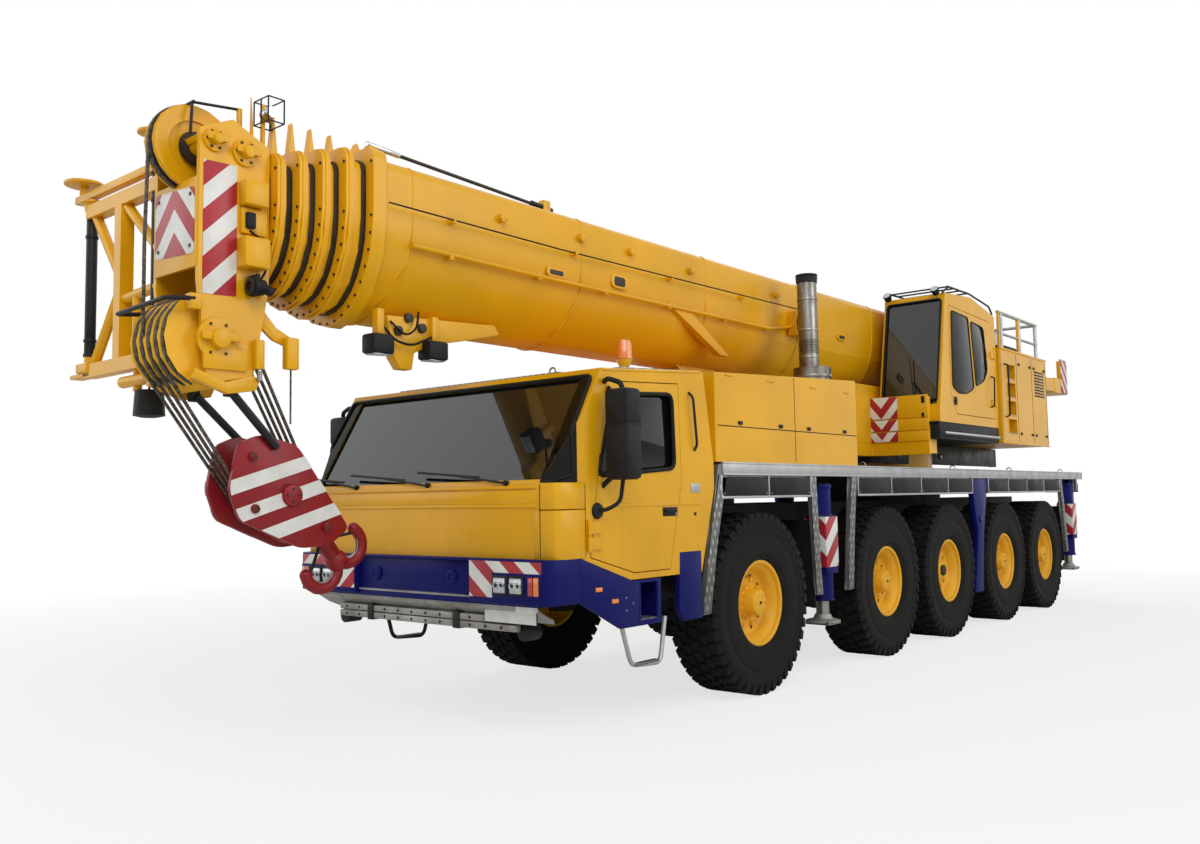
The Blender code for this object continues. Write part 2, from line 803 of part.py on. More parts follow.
def make_chassis():
    wide = FRAME_HALF_WIDTH
    pieces = [
        block((-wide, FRAME_FRONT, FRAME_BOTTOM), (wide, FRAME_REAR, FRAME_TOP)),
        block((-wide, NOSE_FRONT, NOSE_BOTTOM), (wide, FRAME_FRONT + OVERRUN, NOSE_TOP)),
        block(
            (-wide, FRAME_FRONT - OVERRUN, NOSE_BOTTOM),
            (wide, FRAME_FRONT + OVERRUN, FRAME_BOTTOM + OVERRUN),
        ),
        block(
            (-ENGINE_HALF_WIDTH, ENGINE_FRONT, FRAME_TOP - OVERRUN),
            (ENGINE_HALF_WIDTH, ENGINE_REAR, ENGINE_TOP),
        ),
        bar(
            (0, SLEW_Y, FRAME_TOP - OVERRUN),
            (0, SLEW_Y, DECK_TOP - DECK_THICK - SKIN_GAP),
            RING_SEAT_RADIUS,
            WHEEL_STEPS,
        ),
    ]
    cuts = []
    half_pair = BEAM_PITCH / 2 + BEAM_WIDTH / 2
    for place in (FRONT_BEAM_Y, REAR_BEAM_Y):
        wall = OUTRIGGER_BOX_WALL
        gap = MOVING_GAP
        pieces.append(
            block(
                (-OUTRIGGER_BOX_X, place - half_pair - gap - wall, BEAM_BOTTOM - gap - wall),
                (OUTRIGGER_BOX_X, place + half_pair + gap + wall, BEAM_TOP + gap + wall),
            )
        )
        for _, side in sides():
            middle = place - side * BEAM_PITCH / 2
            cuts.append(
                block(
                    (-OUTRIGGER_BOX_X - OVERRUN, middle - BEAM_WIDTH / 2 - gap, BEAM_BOTTOM - SKIN_GAP),
                    (OUTRIGGER_BOX_X + OVERRUN, middle + BEAM_WIDTH / 2 + gap, BEAM_TOP + gap),
                )
            )
    piece("chassis_frame", "frame_paint", pieces, cuts)


def make_outriggers():
    for row, place in (("front", FRONT_BEAM_Y), ("rear", REAR_BEAM_Y)):
        for word, side in sides():
            middle = place - side * BEAM_PITCH / 2
            jack = (side * JACK_X, place)
            pieces = [
                block(
                    (-side * BEAM_INNER_REACH, middle - BEAM_WIDTH / 2, BEAM_BOTTOM),
                    (side * JACK_X, middle + BEAM_WIDTH / 2, BEAM_TOP),
                ),
                bar((*jack, JACK_BOTTOM), (*jack, JACK_TOP), JACK_RADIUS),
            ]
            bore = bar(
                (*jack, JACK_BOTTOM - OVERRUN),
                (*jack, JACK_ROD_TOP + MOVING_GAP),
                JACK_ROD_RADIUS + SKIN_GAP,
            )
            name = f"{row}_{word}"
            piece(f"outrigger_beam_{name}", "blue_paint", pieces, [bore], pivot=(*jack, BEAM_BOTTOM))
            foot = [
                bar((*jack, PAD_BOTTOM), (*jack, JACK_ROD_TOP), JACK_ROD_RADIUS),
                block(
                    (jack[0] - PAD_HALF_SIDE, jack[1] - PAD_HALF_SIDE, PAD_BOTTOM),
                    (jack[0] + PAD_HALF_SIDE, jack[1] + PAD_HALF_SIDE, PAD_BOTTOM + PAD_THICK),
                ),
            ]
            piece(f"outrigger_jack_{name}", "steel", foot, pivot=(*jack, PAD_BOTTOM))


def make_deck():
    edge = HALF_WIDTH
    low = DECK_TOP - DECK_THICK
    pieces = [block((-edge, DECK_FRONT, low), (edge, REAR_END, DECK_TOP))]
    cuts = [
        block(
            (-TROUGH_HALF_WIDTH, ENGINE_FRONT - OVERRUN, low - OVERRUN),
            (TROUGH_HALF_WIDTH, HOUSING_REAR - OVERRUN * 4, DECK_TOP + OVERRUN),
        )
    ]
    strips = (
        # y at the deck, y at the low end
        (-0.57, -0.84),
        (0.90, 0.99),
        (1.72, 1.58),
        (8.42, 8.60),
    )
    skirts = (
        # front and rear of each skirt panel
        (-0.60, 0.85),
        (1.80, 4.85),
        (5.40, 8.36),
    )
    tail = REAR_END - TAIL_BEAM_SETBACK
    half = edge - TAIL_BEAM_SETBACK
    pieces.append(
        block(
            (-half, tail - TAIL_BEAM_DEPTH, DECK_TOP - TAIL_BEAM_HEIGHT),
            (half, tail, DECK_TOP - DECK_THICK / 2),
        ),
    )
    for _, side in sides():
        inner = side * (edge - RAIL_THICK)
        post = spread(POST_SHARES, (POST_FRONT, POST_LOW), (POST_REAR, RAIL_BOTTOM + OVERRUN / 2))
        post_out = side * (edge - RAIL_THICK / 2)
        pieces.append(slab(post, "X", *sorted((post_out, post_out - side * POST_THICK))))
        pieces.append(block((side * edge, DECK_FRONT, RAIL_BOTTOM), (inner, DECK_REAR, DECK_TOP)))
        for front, rear in skirts:
            x0 = side * (edge - RAIL_THICK / 2)
            pieces.append(
                block((x0, front, SKIRT_BOTTOM), (x0 - side * SKIRT_THICK, rear, RAIL_BOTTOM + OVERRUN / 2))
            )
        for high_y, low_y in strips:
            outline = [
                (high_y - STRIP_WIDTH / 2, DECK_TOP - DECK_THICK / 2),
                (low_y - STRIP_WIDTH / 2, STRIP_LOW),
                (low_y + STRIP_WIDTH / 2, STRIP_LOW),
                (high_y + STRIP_WIDTH / 2, DECK_TOP - DECK_THICK / 2),
            ]
            x0 = side * (edge - STRIP_THICK)
            pieces.append(slab(outline, "X", *sorted((x0, side * (edge - RAIL_THICK / 4)))))
    piece("carrier_deck", "aluminium", pieces, cuts)


def grown(outline, width):
    """The closed outline with each of its sides moved outwards by a width, or inwards by one below zero."""
    points = [Vector(place) for place in outline]
    following = points[1:] + points[:1]
    area = sum(here.x * after.y - after.x * here.y for here, after in zip(points, following))
    way = math.copysign(1, area)
    moved = []
    for before, here, after in zip(points[-1:] + points[:-1], points, following):
        first, second = (here - before).normalized(), (after - here).normalized()
        turn = Vector((first.y + second.y, -first.x - second.x)) * way
        moved.append(tuple(here + turn * width / (1 + first.dot(second))))
    return moved


def spread(shares, low, high):
    """Points given as shares of the box between two corners."""
    return [(low[0] + (high[0] - low[0]) * a, low[1] + (high[1] - low[1]) * b) for a, b in shares]


def cab_outline(inset):
    """The carrier cab from its side, as (y, z) points drawn in by the inset."""
    outline = [
        (CAB_FRONT, CAB_SILL),
        (CAB_FRONT, SCREEN_BASE),
        (ROOF_FRONT_Y, ROOF_FRONT_Z),
        (ROOF_REAR_Y, ROOF_REAR_Z),
        (CAB_REAR, DECK_TOP),
        (CAB_REAR, CAB_SILL + (DECK_TOP - CAB_SILL) * CAB_KNEE_SHARE),
        (CAB_REAR - (CAB_REAR - ROOF_REAR_Y) * CAB_HEEL_SHARE, CAB_SILL),
    ]
    return grown(outline, -inset)


def cab_plan(inset):
    """The carrier cab from above, with its front corners drawn back."""
    outline = [
        (-CORNER_X, CAB_FRONT),
        (CORNER_X, CAB_FRONT),
        (HALF_WIDTH, CORNER_Y),
        (HALF_WIDTH, CAB_REAR),
        (-HALF_WIDTH, CAB_REAR),
        (-HALF_WIDTH, CORNER_Y),
    ]
    return grown(outline, -inset)


def cab_solid(inset):
    side = slab(cab_outline(inset), "X", -HALF_WIDTH - OVERRUN, HALF_WIDTH + OVERRUN)
    plan = slab(cab_plan(inset), "Z", CAB_SILL - OVERRUN, ROOF_REAR_Z + OVERRUN)
    return common(side, plan)


def door_outline(grow):
    """The carrier cab's door, as (y, z) points grown by the given width."""
    return grown(spread(DOOR_SHARES, (CAB_FRONT, CAB_SILL), (CAB_REAR, ROOF_FRONT_Z)), grow)


def window_outline():
    return spread(WINDOW_SHARES, (CAB_FRONT, CAB_SILL), (CAB_REAR, ROOF_FRONT_Z))


def wing_outline():
    """The bumper's end below the door, as (y, z) points."""
    return spread(WING_SHARES, (WING_FRONT, WING_LOW), (WING_REAR, BUMPER_TOP))


def panel_outline():
    """The blue panel behind the door, as (y, z) points."""
    return [
        (PANEL_FRONT, PANEL_TOP),
        (PANEL_REAR, PANEL_TOP),
        (PANEL_REAR, PANEL_LOW),
        (PANEL_FRONT, PANEL_LOW),
    ]


def sloping_glass(foot, head, wall, low_x, high_x):
    """A flat pane in a sloping wall between two (y, z) points, and the cut that opens its wall."""
    run = (head - foot).normalized()
    normal = Vector((-run.y, run.x))
    proud, deep = normal * OVERRUN, normal * -(wall + OVERRUN)
    opening = [tuple(foot + proud), tuple(head + proud), tuple(head + deep), tuple(foot + deep)]
    margin = run * SKIN_GAP
    face = normal * -wall * GLASS_SET_SHARE
    back = face - normal * SCREEN_THICK
    pane = [
        tuple(foot + margin + face),
        tuple(head - margin + face),
        tuple(head - margin + back),
        tuple(foot + margin + back),
    ]
    cut = slab(opening, "X", low_x, high_x)
    glass = slab(pane, "X", low_x + SKIN_GAP, high_x - SKIN_GAP)
    return cut, glass


def make_cab():
    base = Vector((CAB_FRONT, SCREEN_BASE))
    run = Vector((ROOF_FRONT_Y, ROOF_FRONT_Z)) - base
    foot, head = base + run * SCREEN_FOOT_SHARE, base + run * SCREEN_HEAD_SHARE
    opening, glass = sloping_glass(foot, head, CAB_WALL, -SCREEN_HALF_WIDTH, SCREEN_HALF_WIDTH)
    cuts = [cab_solid(CAB_WALL), opening]
    for _, side in sides():
        inner = side * (HALF_WIDTH - DOOR_THICK - DOOR_GAP - OVERRUN)
        outer = side * (HALF_WIDTH + OVERRUN)
        cuts.append(slab(door_outline(DOOR_GAP), "X", *sorted((inner, outer))))
        pocket = side * (HALF_WIDTH - WING_THICK - SKIN_GAP)
        for outline in (wing_outline(), panel_outline()):
            cuts.append(slab(grown(outline, SKIN_GAP), "X", *sorted((pocket, outer))))
    piece("carrier_cab", "yellow_paint", [cab_solid(0), beacon()], cuts)
    piece("carrier_windscreen", "glass", [glass])
    make_cab_doors()
    make_cab_inside()


def beacon():
    """The turning lamp on the cab's roof: a flared foot under a dome."""
    slope = (ROOF_REAR_Z - ROOF_FRONT_Z) / (ROOF_REAR_Y - ROOF_FRONT_Y)
    roof = ROOF_FRONT_Z + (BEACON_Y - ROOF_FRONT_Y) * slope
    neck = BEACON_RADIUS / 2
    profile = [
        (BEACON_HEIGHT, 0),
        (BEACON_HEIGHT, BEACON_RADIUS * TREAD_SHARE / 2),
        (BEACON_HEIGHT - BEACON_NECK, BEACON_RADIUS * TREAD_SHARE),
        (BEACON_NECK * 3, BEACON_RADIUS),
        (BEACON_NECK, neck),
        (-BEACON_NECK, neck),
        (-BEACON_NECK, 0),
    ]
    return turned(profile, (BEACON_X, BEACON_Y, roof), "Z", ROUND_SIDES)


def hinge(outer, axis, leaf, low, side):
    """A door's hinge: a barrel on the axis and a leaf that steps down onto the door's face.

    outer is the skin's x, axis the hinge's (x, y) and leaf its reach along y to the door."""
    radius = abs(axis[0] - outer) - SKIN_GAP
    face = outer + side * SKIN_GAP
    thick = side * radius
    high = low + HINGE_HEIGHT
    step = axis[1] + leaf / 2
    end = axis[1] + leaf
    return [
        bar((*axis, low), (*axis, high), radius),
        block((face, axis[1], low + OVERRUN / 5), (face + thick, end, high - OVERRUN / 5)),
        block((outer - side * radius, step, low + OVERRUN / 5), (face + thick / 2, end, high - OVERRUN / 5)),
    ]


def make_cab_doors():
    for word, side in sides():
        outer = side * HALF_WIDTH
        inner = side * (HALF_WIDTH - DOOR_THICK)
        past = side * (HALF_WIDTH + OVERRUN)
        before = side * (HALF_WIDTH - DOOR_THICK - OVERRUN)
        pivot = (side * (HALF_WIDTH + DOOR_SWING_OUTSET), DOOR_HINGE_Y, CAB_SILL)
        reach = side * (HALF_WIDTH + MIRROR_REACH)
        near = side * (HALF_WIDTH + MIRROR_DEPTH)
        arm = side * (HALF_WIDTH - DOOR_THICK / 2)
        arm_y = (MIRROR_FRONT + MIRROR_REAR) / 2
        pieces = [
            slab(door_outline(0), "X", *sorted((inner, outer))),
            block((near, MIRROR_FRONT, MIRROR_BOTTOM), (reach, MIRROR_REAR, MIRROR_TOP)),
            bar(
                (arm, *MIRROR_FOOT_LOW),
                (near + side * OVERRUN, arm_y, MIRROR_BOTTOM + OVERRUN),
                MIRROR_ARM,
                SMALL_SIDES,
            ),
            bar(
                (arm, *MIRROR_FOOT_HIGH),
                (near + side * OVERRUN, arm_y, MIRROR_TOP - OVERRUN),
                MIRROR_ARM,
                SMALL_SIDES,
            ),
        ]
        for share in HINGE_SHARES:
            low = DOOR_LOW + (SCREEN_BASE - DOOR_LOW) * share
            pieces += hinge(outer, pivot[:2], HINGE_LEAF, low, side)
        cuts = [slab(window_outline(), "X", *sorted((before, past)))]
        piece(f"carrier_door_{word}", "yellow_paint", pieces, cuts, pivot=pivot)


def seat(x, half, front, rear, floor, heights):
    """A seat: its plinth, cushion and back, with the heights of their tops over the floor."""
    plinth, cushion, back = [floor + height for height in heights]
    margin = SEAT_MARGIN
    return [
        block((x - half + margin, front + margin, floor), (x + half - margin, rear - margin, plinth)),
        block((x - half, front, plinth - SEAT_LAP), (x + half, rear - SEAT_LAP, cushion)),
        block((x - half, rear - SEAT_BACK_THICK, cushion - SEAT_LAP), (x + half, rear, back)),
    ]


def make_cab_inside():
    floor = CAB_SILL + CAB_WALL + SKIN_GAP
    dash_top = SCREEN_BASE - DASH_DROP
    dash_rear = DASH_FRONT + DASH_DEPTH
    pieces = [
        block(
            (-DASH_HALF_WIDTH, DASH_FRONT, floor),
            (DASH_HALF_WIDTH, SEAT_REAR + SEAT_MARGIN, floor + MAT_THICK),
        ),
        block((-DASH_HALF_WIDTH, DASH_FRONT, floor), (DASH_HALF_WIDTH, dash_rear, dash_top)),
    ]
    for _, side in sides():
        pieces += seat(side * SEAT_X, SEAT_HALF_WIDTH, SEAT_FRONT, SEAT_REAR, floor, SEAT_HEIGHTS)
    foot = Vector((SEAT_X, dash_rear - COLUMN_RADIUS, SCREEN_BASE - COLUMN_RISE))
    middle = Vector((SEAT_X, STEERING_Y, SCREEN_BASE))
    way = (middle - foot).normalized()
    pieces.append(bar(foot, middle, COLUMN_RADIUS, SMALL_SIDES))
    pieces.append(bar(middle - way * STEERING_THICK, middle, STEERING_RADIUS))
    piece("carrier_interior", "cab_trim", pieces)


def bumper_plan(depth):
    """The bumper's front and drawn-back corners from above, with a depth behind them."""
    outer = [
        (-HALF_WIDTH, WING_FRONT),
        (-CORNER_X, BUMPER_FRONT),
        (CORNER_X, BUMPER_FRONT),
        (HALF_WIDTH, WING_FRONT),
    ]
    return outer + [(x, y + depth) for x, y in reversed(outer)]


def make_bumper():
    depth = CAB_FRONT - BUMPER_FRONT
    shell = slab(bumper_plan(depth), "Z", BUMPER_LOW, BUMPER_TOP)
    pieces = [joined([shell], [cab_solid(-SKIN_GAP)])]
    pan = spread(PAN_SHARES, (PAN_FRONT, PAN_LOW), (PAN_REAR, BUMPER_LOW + STEP_WALL / 2))
    pieces.append(slab(pan, "X", -PAN_HALF_WIDTH, PAN_HALF_WIDTH))
    rear = TOW_BAR_FRONT + TOW_BAR_DEPTH
    pieces.append(
        block((-TOW_BAR_HALF_WIDTH, TOW_BAR_FRONT, TOW_BAR_LOW), (TOW_BAR_HALF_WIDTH, rear, TOW_BAR_TOP)),
    )
    cross = PAN_REAR - CROSS_DEPTH
    pieces.append(
        block(
            (-CROSS_HALF_WIDTH, cross, WING_LOW),
            (CROSS_HALF_WIDTH, PAN_REAR - SKIN_GAP, PAN_LOW + STEP_WALL),
        ),
    )
    cuts = []
    for _, side in sides():
        pieces += bumper_end(side)
        mouth = side * (HALF_WIDTH + OVERRUN)
        back = side * (HALF_WIDTH - STEP_DEPTH + STEP_WALL)
        hole = [(WING_REAR + STEP_WALL, WING_LOW + STEP_WALL), (STEP_REAR - STEP_WALL, STEP_TOP - STEP_WALL)]
        cuts.append(block((mouth, *hole[0]), (back, *hole[1])))
        for x in LAMP_PLACES:
            pieces.append(
                block(
                    (side * (x - LAMP_HALF), BUMPER_FRONT - LAMP_DEPTH, LAMP_Z - LAMP_HALF),
                    (side * (x + LAMP_HALF), BUMPER_FRONT + depth / 2, LAMP_Z + LAMP_HALF),
                )
            )
        pieces.append(
            block(
                (side * MARKER_IN, BUMPER_FRONT - LAMP_DEPTH, LAMP_Z - LAMP_HALF),
                (side * MARKER_OUT, BUMPER_FRONT + depth / 2, LAMP_Z + LAMP_HALF),
            )
        )
    piece("front_bumper", "blue_paint", pieces, cuts)


def bumper_end(side):
    """One end's wing, step box, step loop and the panel behind the door, on a rail under the cab."""
    edge = side * HALF_WIDTH
    under = CAB_SILL - SKIN_GAP
    thin = side * (HALF_WIDTH - WING_THICK)
    thick = side * (HALF_WIDTH - WING_BOX_THICK)
    low_wing = [(y, min(z, under)) for y, z in wing_outline()]
    low_panel = [(y, min(z, under)) for y, z in panel_outline()]
    rail_in, rail_out = side * RAIL_UNDER_X, side * (RAIL_UNDER_X + RAIL_UNDER_WIDTH)
    step_in = side * (HALF_WIDTH - STEP_DEPTH)
    lap = STEP_WALL / 2
    loop_size = STEP_REAR - WING_REAR
    loop = [
        (side * STEP_LOOP_X, WING_REAR + loop_size * a, WING_LOW + STEP_WALL + (STEP_TOP - WING_LOW) * b)
        for a, b in STEP_LOOP_SHARES
    ]
    bracket_rear = loop[-1][1] + STEP_WALL
    return [
        slab(wing_outline(), "X", *sorted((edge, thin))),
        slab(low_wing, "X", *sorted((edge - side * lap, thick))),
        slab(panel_outline(), "X", *sorted((edge, thin))),
        slab(low_panel, "X", *sorted((edge - side * lap, thick))),
        block((rail_in, WING_REAR - lap, RAIL_UNDER_LOW), (rail_out, PANEL_REAR - lap, under)),
        block(
            (rail_out - side * lap, PANEL_FRONT + lap, RAIL_UNDER_LOW + lap),
            (thick + side * lap, PANEL_REAR - 2 * lap, under - lap),
        ),
        block((edge, WING_REAR - lap, WING_LOW), (step_in, STEP_REAR, STEP_TOP)),
        block(
            (thick, STEP_REAR - lap, WING_LOW),
            (edge - side * lap, bracket_rear, WING_LOW + 2 * STEP_WALL),
        ),
        tube(loop, STEP_LOOP_RADIUS),
    ]


def housing_solid(inset, floor):
    outline = [
        (HOUSING_FRONT + inset, floor),
        (HOUSING_FRONT + inset, HOUSING_FRONT_TOP - inset),
        (HOUSING_REAR - inset, HOUSING_REAR_TOP - inset),
        (HOUSING_REAR - inset, floor),
    ]
    edge = HALF_WIDTH - inset
    return slab(outline, "X", -edge, edge)


def make_housing():
    floor = DECK_TOP + SKIN_GAP
    trough = block(
        (-TROUGH_HALF_WIDTH, TROUGH_FRONT, TROUGH_FLOOR),
        (TROUGH_HALF_WIDTH, HOUSING_REAR + OVERRUN, HOUSING_REAR_TOP + OVERRUN),
    )
    pocket = block(
        (-TROUGH_HALF_WIDTH, HOUSING_FRONT + HOUSING_WALL, floor - OVERRUN),
        (TROUGH_HALF_WIDTH, ENGINE_REAR + OVERRUN, ENGINE_TOP + HOUSING_WALL),
    )
    piece("engine_housing", "yellow_paint", [housing_solid(0, floor)], [trough, pocket])


def make_exhaust():
    base = DECK_TOP + SKIN_GAP
    pieces = [
        bar((MUFFLER_X, MUFFLER_Y, base), (MUFFLER_X, MUFFLER_Y, MUFFLER_TOP - OVERRUN), MUFFLER_RADIUS),
        bar((MUFFLER_X, STACK_Y, MUFFLER_TOP - 2 * OVERRUN), (MUFFLER_X, STACK_Y, STACK_TOP), STACK_RADIUS),
    ]
    bore = bar(
        (MUFFLER_X, STACK_Y, MUFFLER_TOP),
        (MUFFLER_X, STACK_Y, STACK_TOP + OVERRUN),
        STACK_RADIUS - SECTION_WALL,
    )
    piece("exhaust_stack", "steel", pieces, [bore])


def make_turntable():
    floor_low = RING_TOP - OVERRUN
    floor_top = RING_TOP + FLOOR_THICK
    ring_low = DECK_TOP + SKIN_GAP
    out = PLATE_X
    thin = PLATE_THICK
    outline = [
        (PLATE_FRONT, RING_TOP),
        (PLATE_FRONT, PLATE_NOSE_TOP),
        (SUPER_FRONT + NOSE_SETBACK, PLATE_NOSE_TOP),
        (PIVOT_Y - SHOULDER_REACH, PIVOT_Z + SHOULDER_RISE),
        *arc((PIVOT_Y, PIVOT_Z), PIVOT_RADIUS * CREST_SHARE, 120, 60, 4),
        (SUPER_REAR, TAIL_TOP),
        (TAIL_REAR, TAIL_TOP),
        (TAIL_REAR, TAIL_BOTTOM),
        (SUPER_REAR + TAIL_ROOT, TAIL_BOTTOM - TAIL_ROOT_DROP),
        (SUPER_REAR - FLOOR_SETBACK, RING_TOP),
    ]
    pieces = [
        bar((0, SLEW_Y, ring_low), (0, SLEW_Y, RING_TOP), RING_RADIUS, WHEEL_STEPS),
        block((-out, PLATE_FRONT, floor_low), (out, SUPER_REAR - FLOOR_SETBACK, floor_top)),
        block(
            (-TAIL_HALF_WIDTH, TAIL_BEAM_FRONT, TAIL_BOTTOM),
            (TAIL_HALF_WIDTH, TAIL_REAR, TAIL_BOTTOM + TAIL_BEAM_THICK),
        ),
        block(
            (PLATE_X - thin, SUPER_FRONT + NOSE_SETBACK, CAB_FLOOR_BOTTOM),
            (UPPER_CAB_OUT - FLOOR_INSET, UPPER_CAB_REAR, CAB_FLOOR_TOP),
        ),
        block((PLATE_X - thin, SUPER_FRONT, floor_low), (COVER_OUT, UPPER_CAB_FRONT - MOVING_GAP, COVER_TOP)),
        block(
            (PLATE_X - thin, SUPER_FRONT + COVER_LAP, floor_low + COVER_LAP),
            (COVER_OUT - COVER_LAP, SUPER_FRONT + COVER_DEPTH, CAB_FLOOR_TOP - FLOOR_INSET),
        ),
        block(
            (PLATE_X - thin, SUPER_FRONT + BRACKET_INSET, CAB_FLOOR_BOTTOM),
            (COVER_OUT - BRACKET_INSET, SUPER_FRONT + BRACKET_REACH, CAB_FLOOR_TOP),
        ),
    ]
    for _, side in sides():
        pieces.append(slab(outline, "X", *sorted((side * out, side * (out - thin)))))
        lug = side * (EYE_HALF_WIDTH + SKIN_GAP)
        lug_out = side * (EYE_HALF_WIDTH + SKIN_GAP + LUG_PLATE)
        foot = [
            (FOOT_Y - EYE_RADIUS * FOOT_SPREAD_SHARE, floor_low),
            (FOOT_Y - EYE_RADIUS, FOOT_Z + EYE_RADIUS * FOOT_RISE_SHARE),
            (FOOT_Y + EYE_RADIUS, FOOT_Z + EYE_RADIUS * FOOT_RISE_SHARE),
            (FOOT_Y + EYE_RADIUS * FOOT_SPREAD_SHARE, floor_low),
        ]
        pieces.append(slab(foot, "X", *sorted((lug, lug_out))))
        pieces.append(
            block(
                (side * (TAIL_HALF_WIDTH - 0.1), SUPER_REAR + SKIN_GAP, TAIL_BOTTOM + 0.01),
                (side * (TAIL_HALF_WIDTH - 0.01), TAIL_BEAM_FRONT + OVERRUN, TAIL_BOTTOM + 0.2),
            )
        )
    pin = PIVOT_RADIUS + MOVING_GAP
    cuts = [bar((-out - OVERRUN, PIVOT_Y, PIVOT_Z), (out + OVERRUN, PIVOT_Y, PIVOT_Z), pin)]
    piece("turntable", "yellow_paint", pieces, cuts, pivot=(0, SLEW_Y, DECK_TOP))


def upper_cab_outline(inset):
    return [
        (UPPER_CAB_FRONT + inset, CAB_FLOOR_TOP + SKIN_GAP + inset),
        (UPPER_CAB_FRONT + inset, CAB_FLOOR_TOP + 0.15),
        (UPPER_CAB_BROW + inset * 0.7, UPPER_CAB_TOP - inset),
        ((UPPER_CAB_BROW + UPPER_CAB_REAR) / 2, UPPER_CAB_CROWN - inset),
        (UPPER_CAB_REAR - inset, UPPER_CAB_REAR_TOP - inset),
        (UPPER_CAB_REAR - inset, CAB_FLOOR_TOP + SKIN_GAP + inset),
    ]


def upper_door_outline(grow):
    front, rear = UPPER_DOOR_FRONT - grow, UPPER_DOOR_REAR + grow
    low, high = UPPER_DOOR_LOW - grow, UPPER_DOOR_HIGH + grow
    width, height = rear - front, high - low
    return [
        (front, low + height * 0.18),
        (front + width * 0.02, high),
        (rear - width * 0.05, high - height * 0.03),
        (rear, high - height * 0.12),
        (rear, low),
        (front + width * 0.12, low),
    ]


def upper_window_outline():
    width = UPPER_DOOR_REAR - UPPER_DOOR_FRONT
    height = UPPER_DOOR_HIGH - UPPER_DOOR_LOW
    shares = ((0.06, 0.32), (0.09, 0.93), (0.76, 0.90), (0.86, 0.62), (0.62, 0.38), (0.42, 0.31))
    return [(UPPER_DOOR_FRONT + width * a, UPPER_DOOR_LOW + height * b) for a, b in shares]


def make_upper_cab():
    wall = UPPER_CAB_WALL
    low = (UPPER_CAB_FRONT, CAB_FLOOR_TOP + 0.15)
    high = (UPPER_CAB_BROW, UPPER_CAB_TOP)
    run = Vector((high[0] - low[0], high[1] - low[1]))
    normal = Vector((-run.y, run.x)).normalized()
    foot = Vector(low) + run * 0.06
    head = Vector(low) + run * 0.95
    proud, deep = normal * OVERRUN, normal * -OVERRUN * 1.4
    opening = [tuple(foot + proud), tuple(head + proud), tuple(head + deep), tuple(foot + deep)]
    half_gap = 0.045
    x0, x1 = UPPER_CAB_IN + half_gap, UPPER_CAB_OUT - half_gap
    cuts = [
        slab(upper_cab_outline(wall), "X", UPPER_CAB_IN + wall, UPPER_CAB_OUT - wall),
        slab(opening, "X", x0, x1),
        slab(
            upper_door_outline(DOOR_GAP),
            "X",
            UPPER_CAB_OUT - UPPER_DOOR_THICK - DOOR_GAP - OVERRUN,
            UPPER_CAB_OUT + OVERRUN,
        ),
    ]
    piece("upper_cab", "yellow_paint", [slab(upper_cab_outline(0), "X", UPPER_CAB_IN, UPPER_CAB_OUT)], cuts)
    inset = normal * -wall * 0.3
    glass_in = normal * -(wall * 0.3 + SCREEN_THICK)
    margin = run.normalized() * SKIN_GAP
    glass = [
        tuple(foot + margin + inset),
        tuple(head - margin + inset),
        tuple(head - margin + glass_in),
        tuple(foot + margin + glass_in),
    ]
    piece("upper_windscreen", "glass", [slab(glass, "X", x0 + SKIN_GAP, x1 - SKIN_GAP)])
    pivot = (UPPER_CAB_OUT + DOOR_SWING_OUTSET, UPPER_DOOR_REAR + HINGE_BACK, UPPER_DOOR_LOW)
    pieces = [slab(upper_door_outline(0), "X", UPPER_CAB_OUT - UPPER_DOOR_THICK, UPPER_CAB_OUT)]
    for share in UPPER_HINGE_SHARES:
        low = UPPER_DOOR_LOW + (UPPER_DOOR_HIGH - UPPER_DOOR_LOW) * share
        pieces += hinge(UPPER_CAB_OUT, pivot[:2], -HINGE_LEAF, low, 1)
    window = slab(upper_window_outline(), "X", UPPER_CAB_OUT - OVERRUN * 2, UPPER_CAB_OUT + OVERRUN)
    piece("upper_cab_door", "yellow_paint", pieces, [window], pivot=pivot)
    floor = CAB_FLOOR_TOP + wall + 2 * SKIN_GAP
    seat = [
        block((0.78, 4.95, floor), (1.12, 5.35, floor + 0.30)),
        block((0.72, 4.90, floor + 0.28), (1.18, 5.42, floor + 0.42)),
        block((0.72, 5.30, floor + 0.40), (1.18, 5.44, floor + 1.02)),
    ]
    piece("upper_seat", "cab_trim", seat)


def make_machinery_box():
    inner = PLATE_X + SKIN_GAP
    body = block((inner, BOX_FRONT, BOX_LOW), (BOX_OUT, SUPER_REAR, BOX_HIGH))
    steps = 4
    pitch = (BOX_HIGH - BOX_LOW) * LADDER_SPAN_SHARE / steps
    cuts = []
    for i in range(steps):
        base = BOX_LOW + (BOX_HIGH - BOX_LOW) * LADDER_START_SHARE + i * pitch
        cuts.append(
            block(
                (BOX_OUT - LADDER_DEPTH, LADDER_FRONT, base),
                (BOX_OUT + OVERRUN, LADDER_REAR, base + pitch * STEP_OPEN_SHARE),
            )
        )
    rail_x = BOX_OUT - GUARD_INSET
    y0, y1 = BOX_FRONT + GUARD_FRONT_GAP, SUPER_REAR - GUARD_REAR_GAP
    foot = BOX_HIGH - OVERRUN
    pieces = [body]
    for y in (y0, (y0 + y1) / 2, y1):
        pieces.append(tube([(rail_x, y, foot), (rail_x, y, GUARD_TOP)], GUARD_RADIUS))
    pieces.append(
        tube(
            [(rail_x, y0 - GUARD_RADIUS, GUARD_TOP), (rail_x, y1 + GUARD_RADIUS, GUARD_TOP)],
            GUARD_RADIUS * GUARD_TOP_SHARE,
        ),
    )
    piece("machinery_box", "yellow_paint", pieces, cuts)


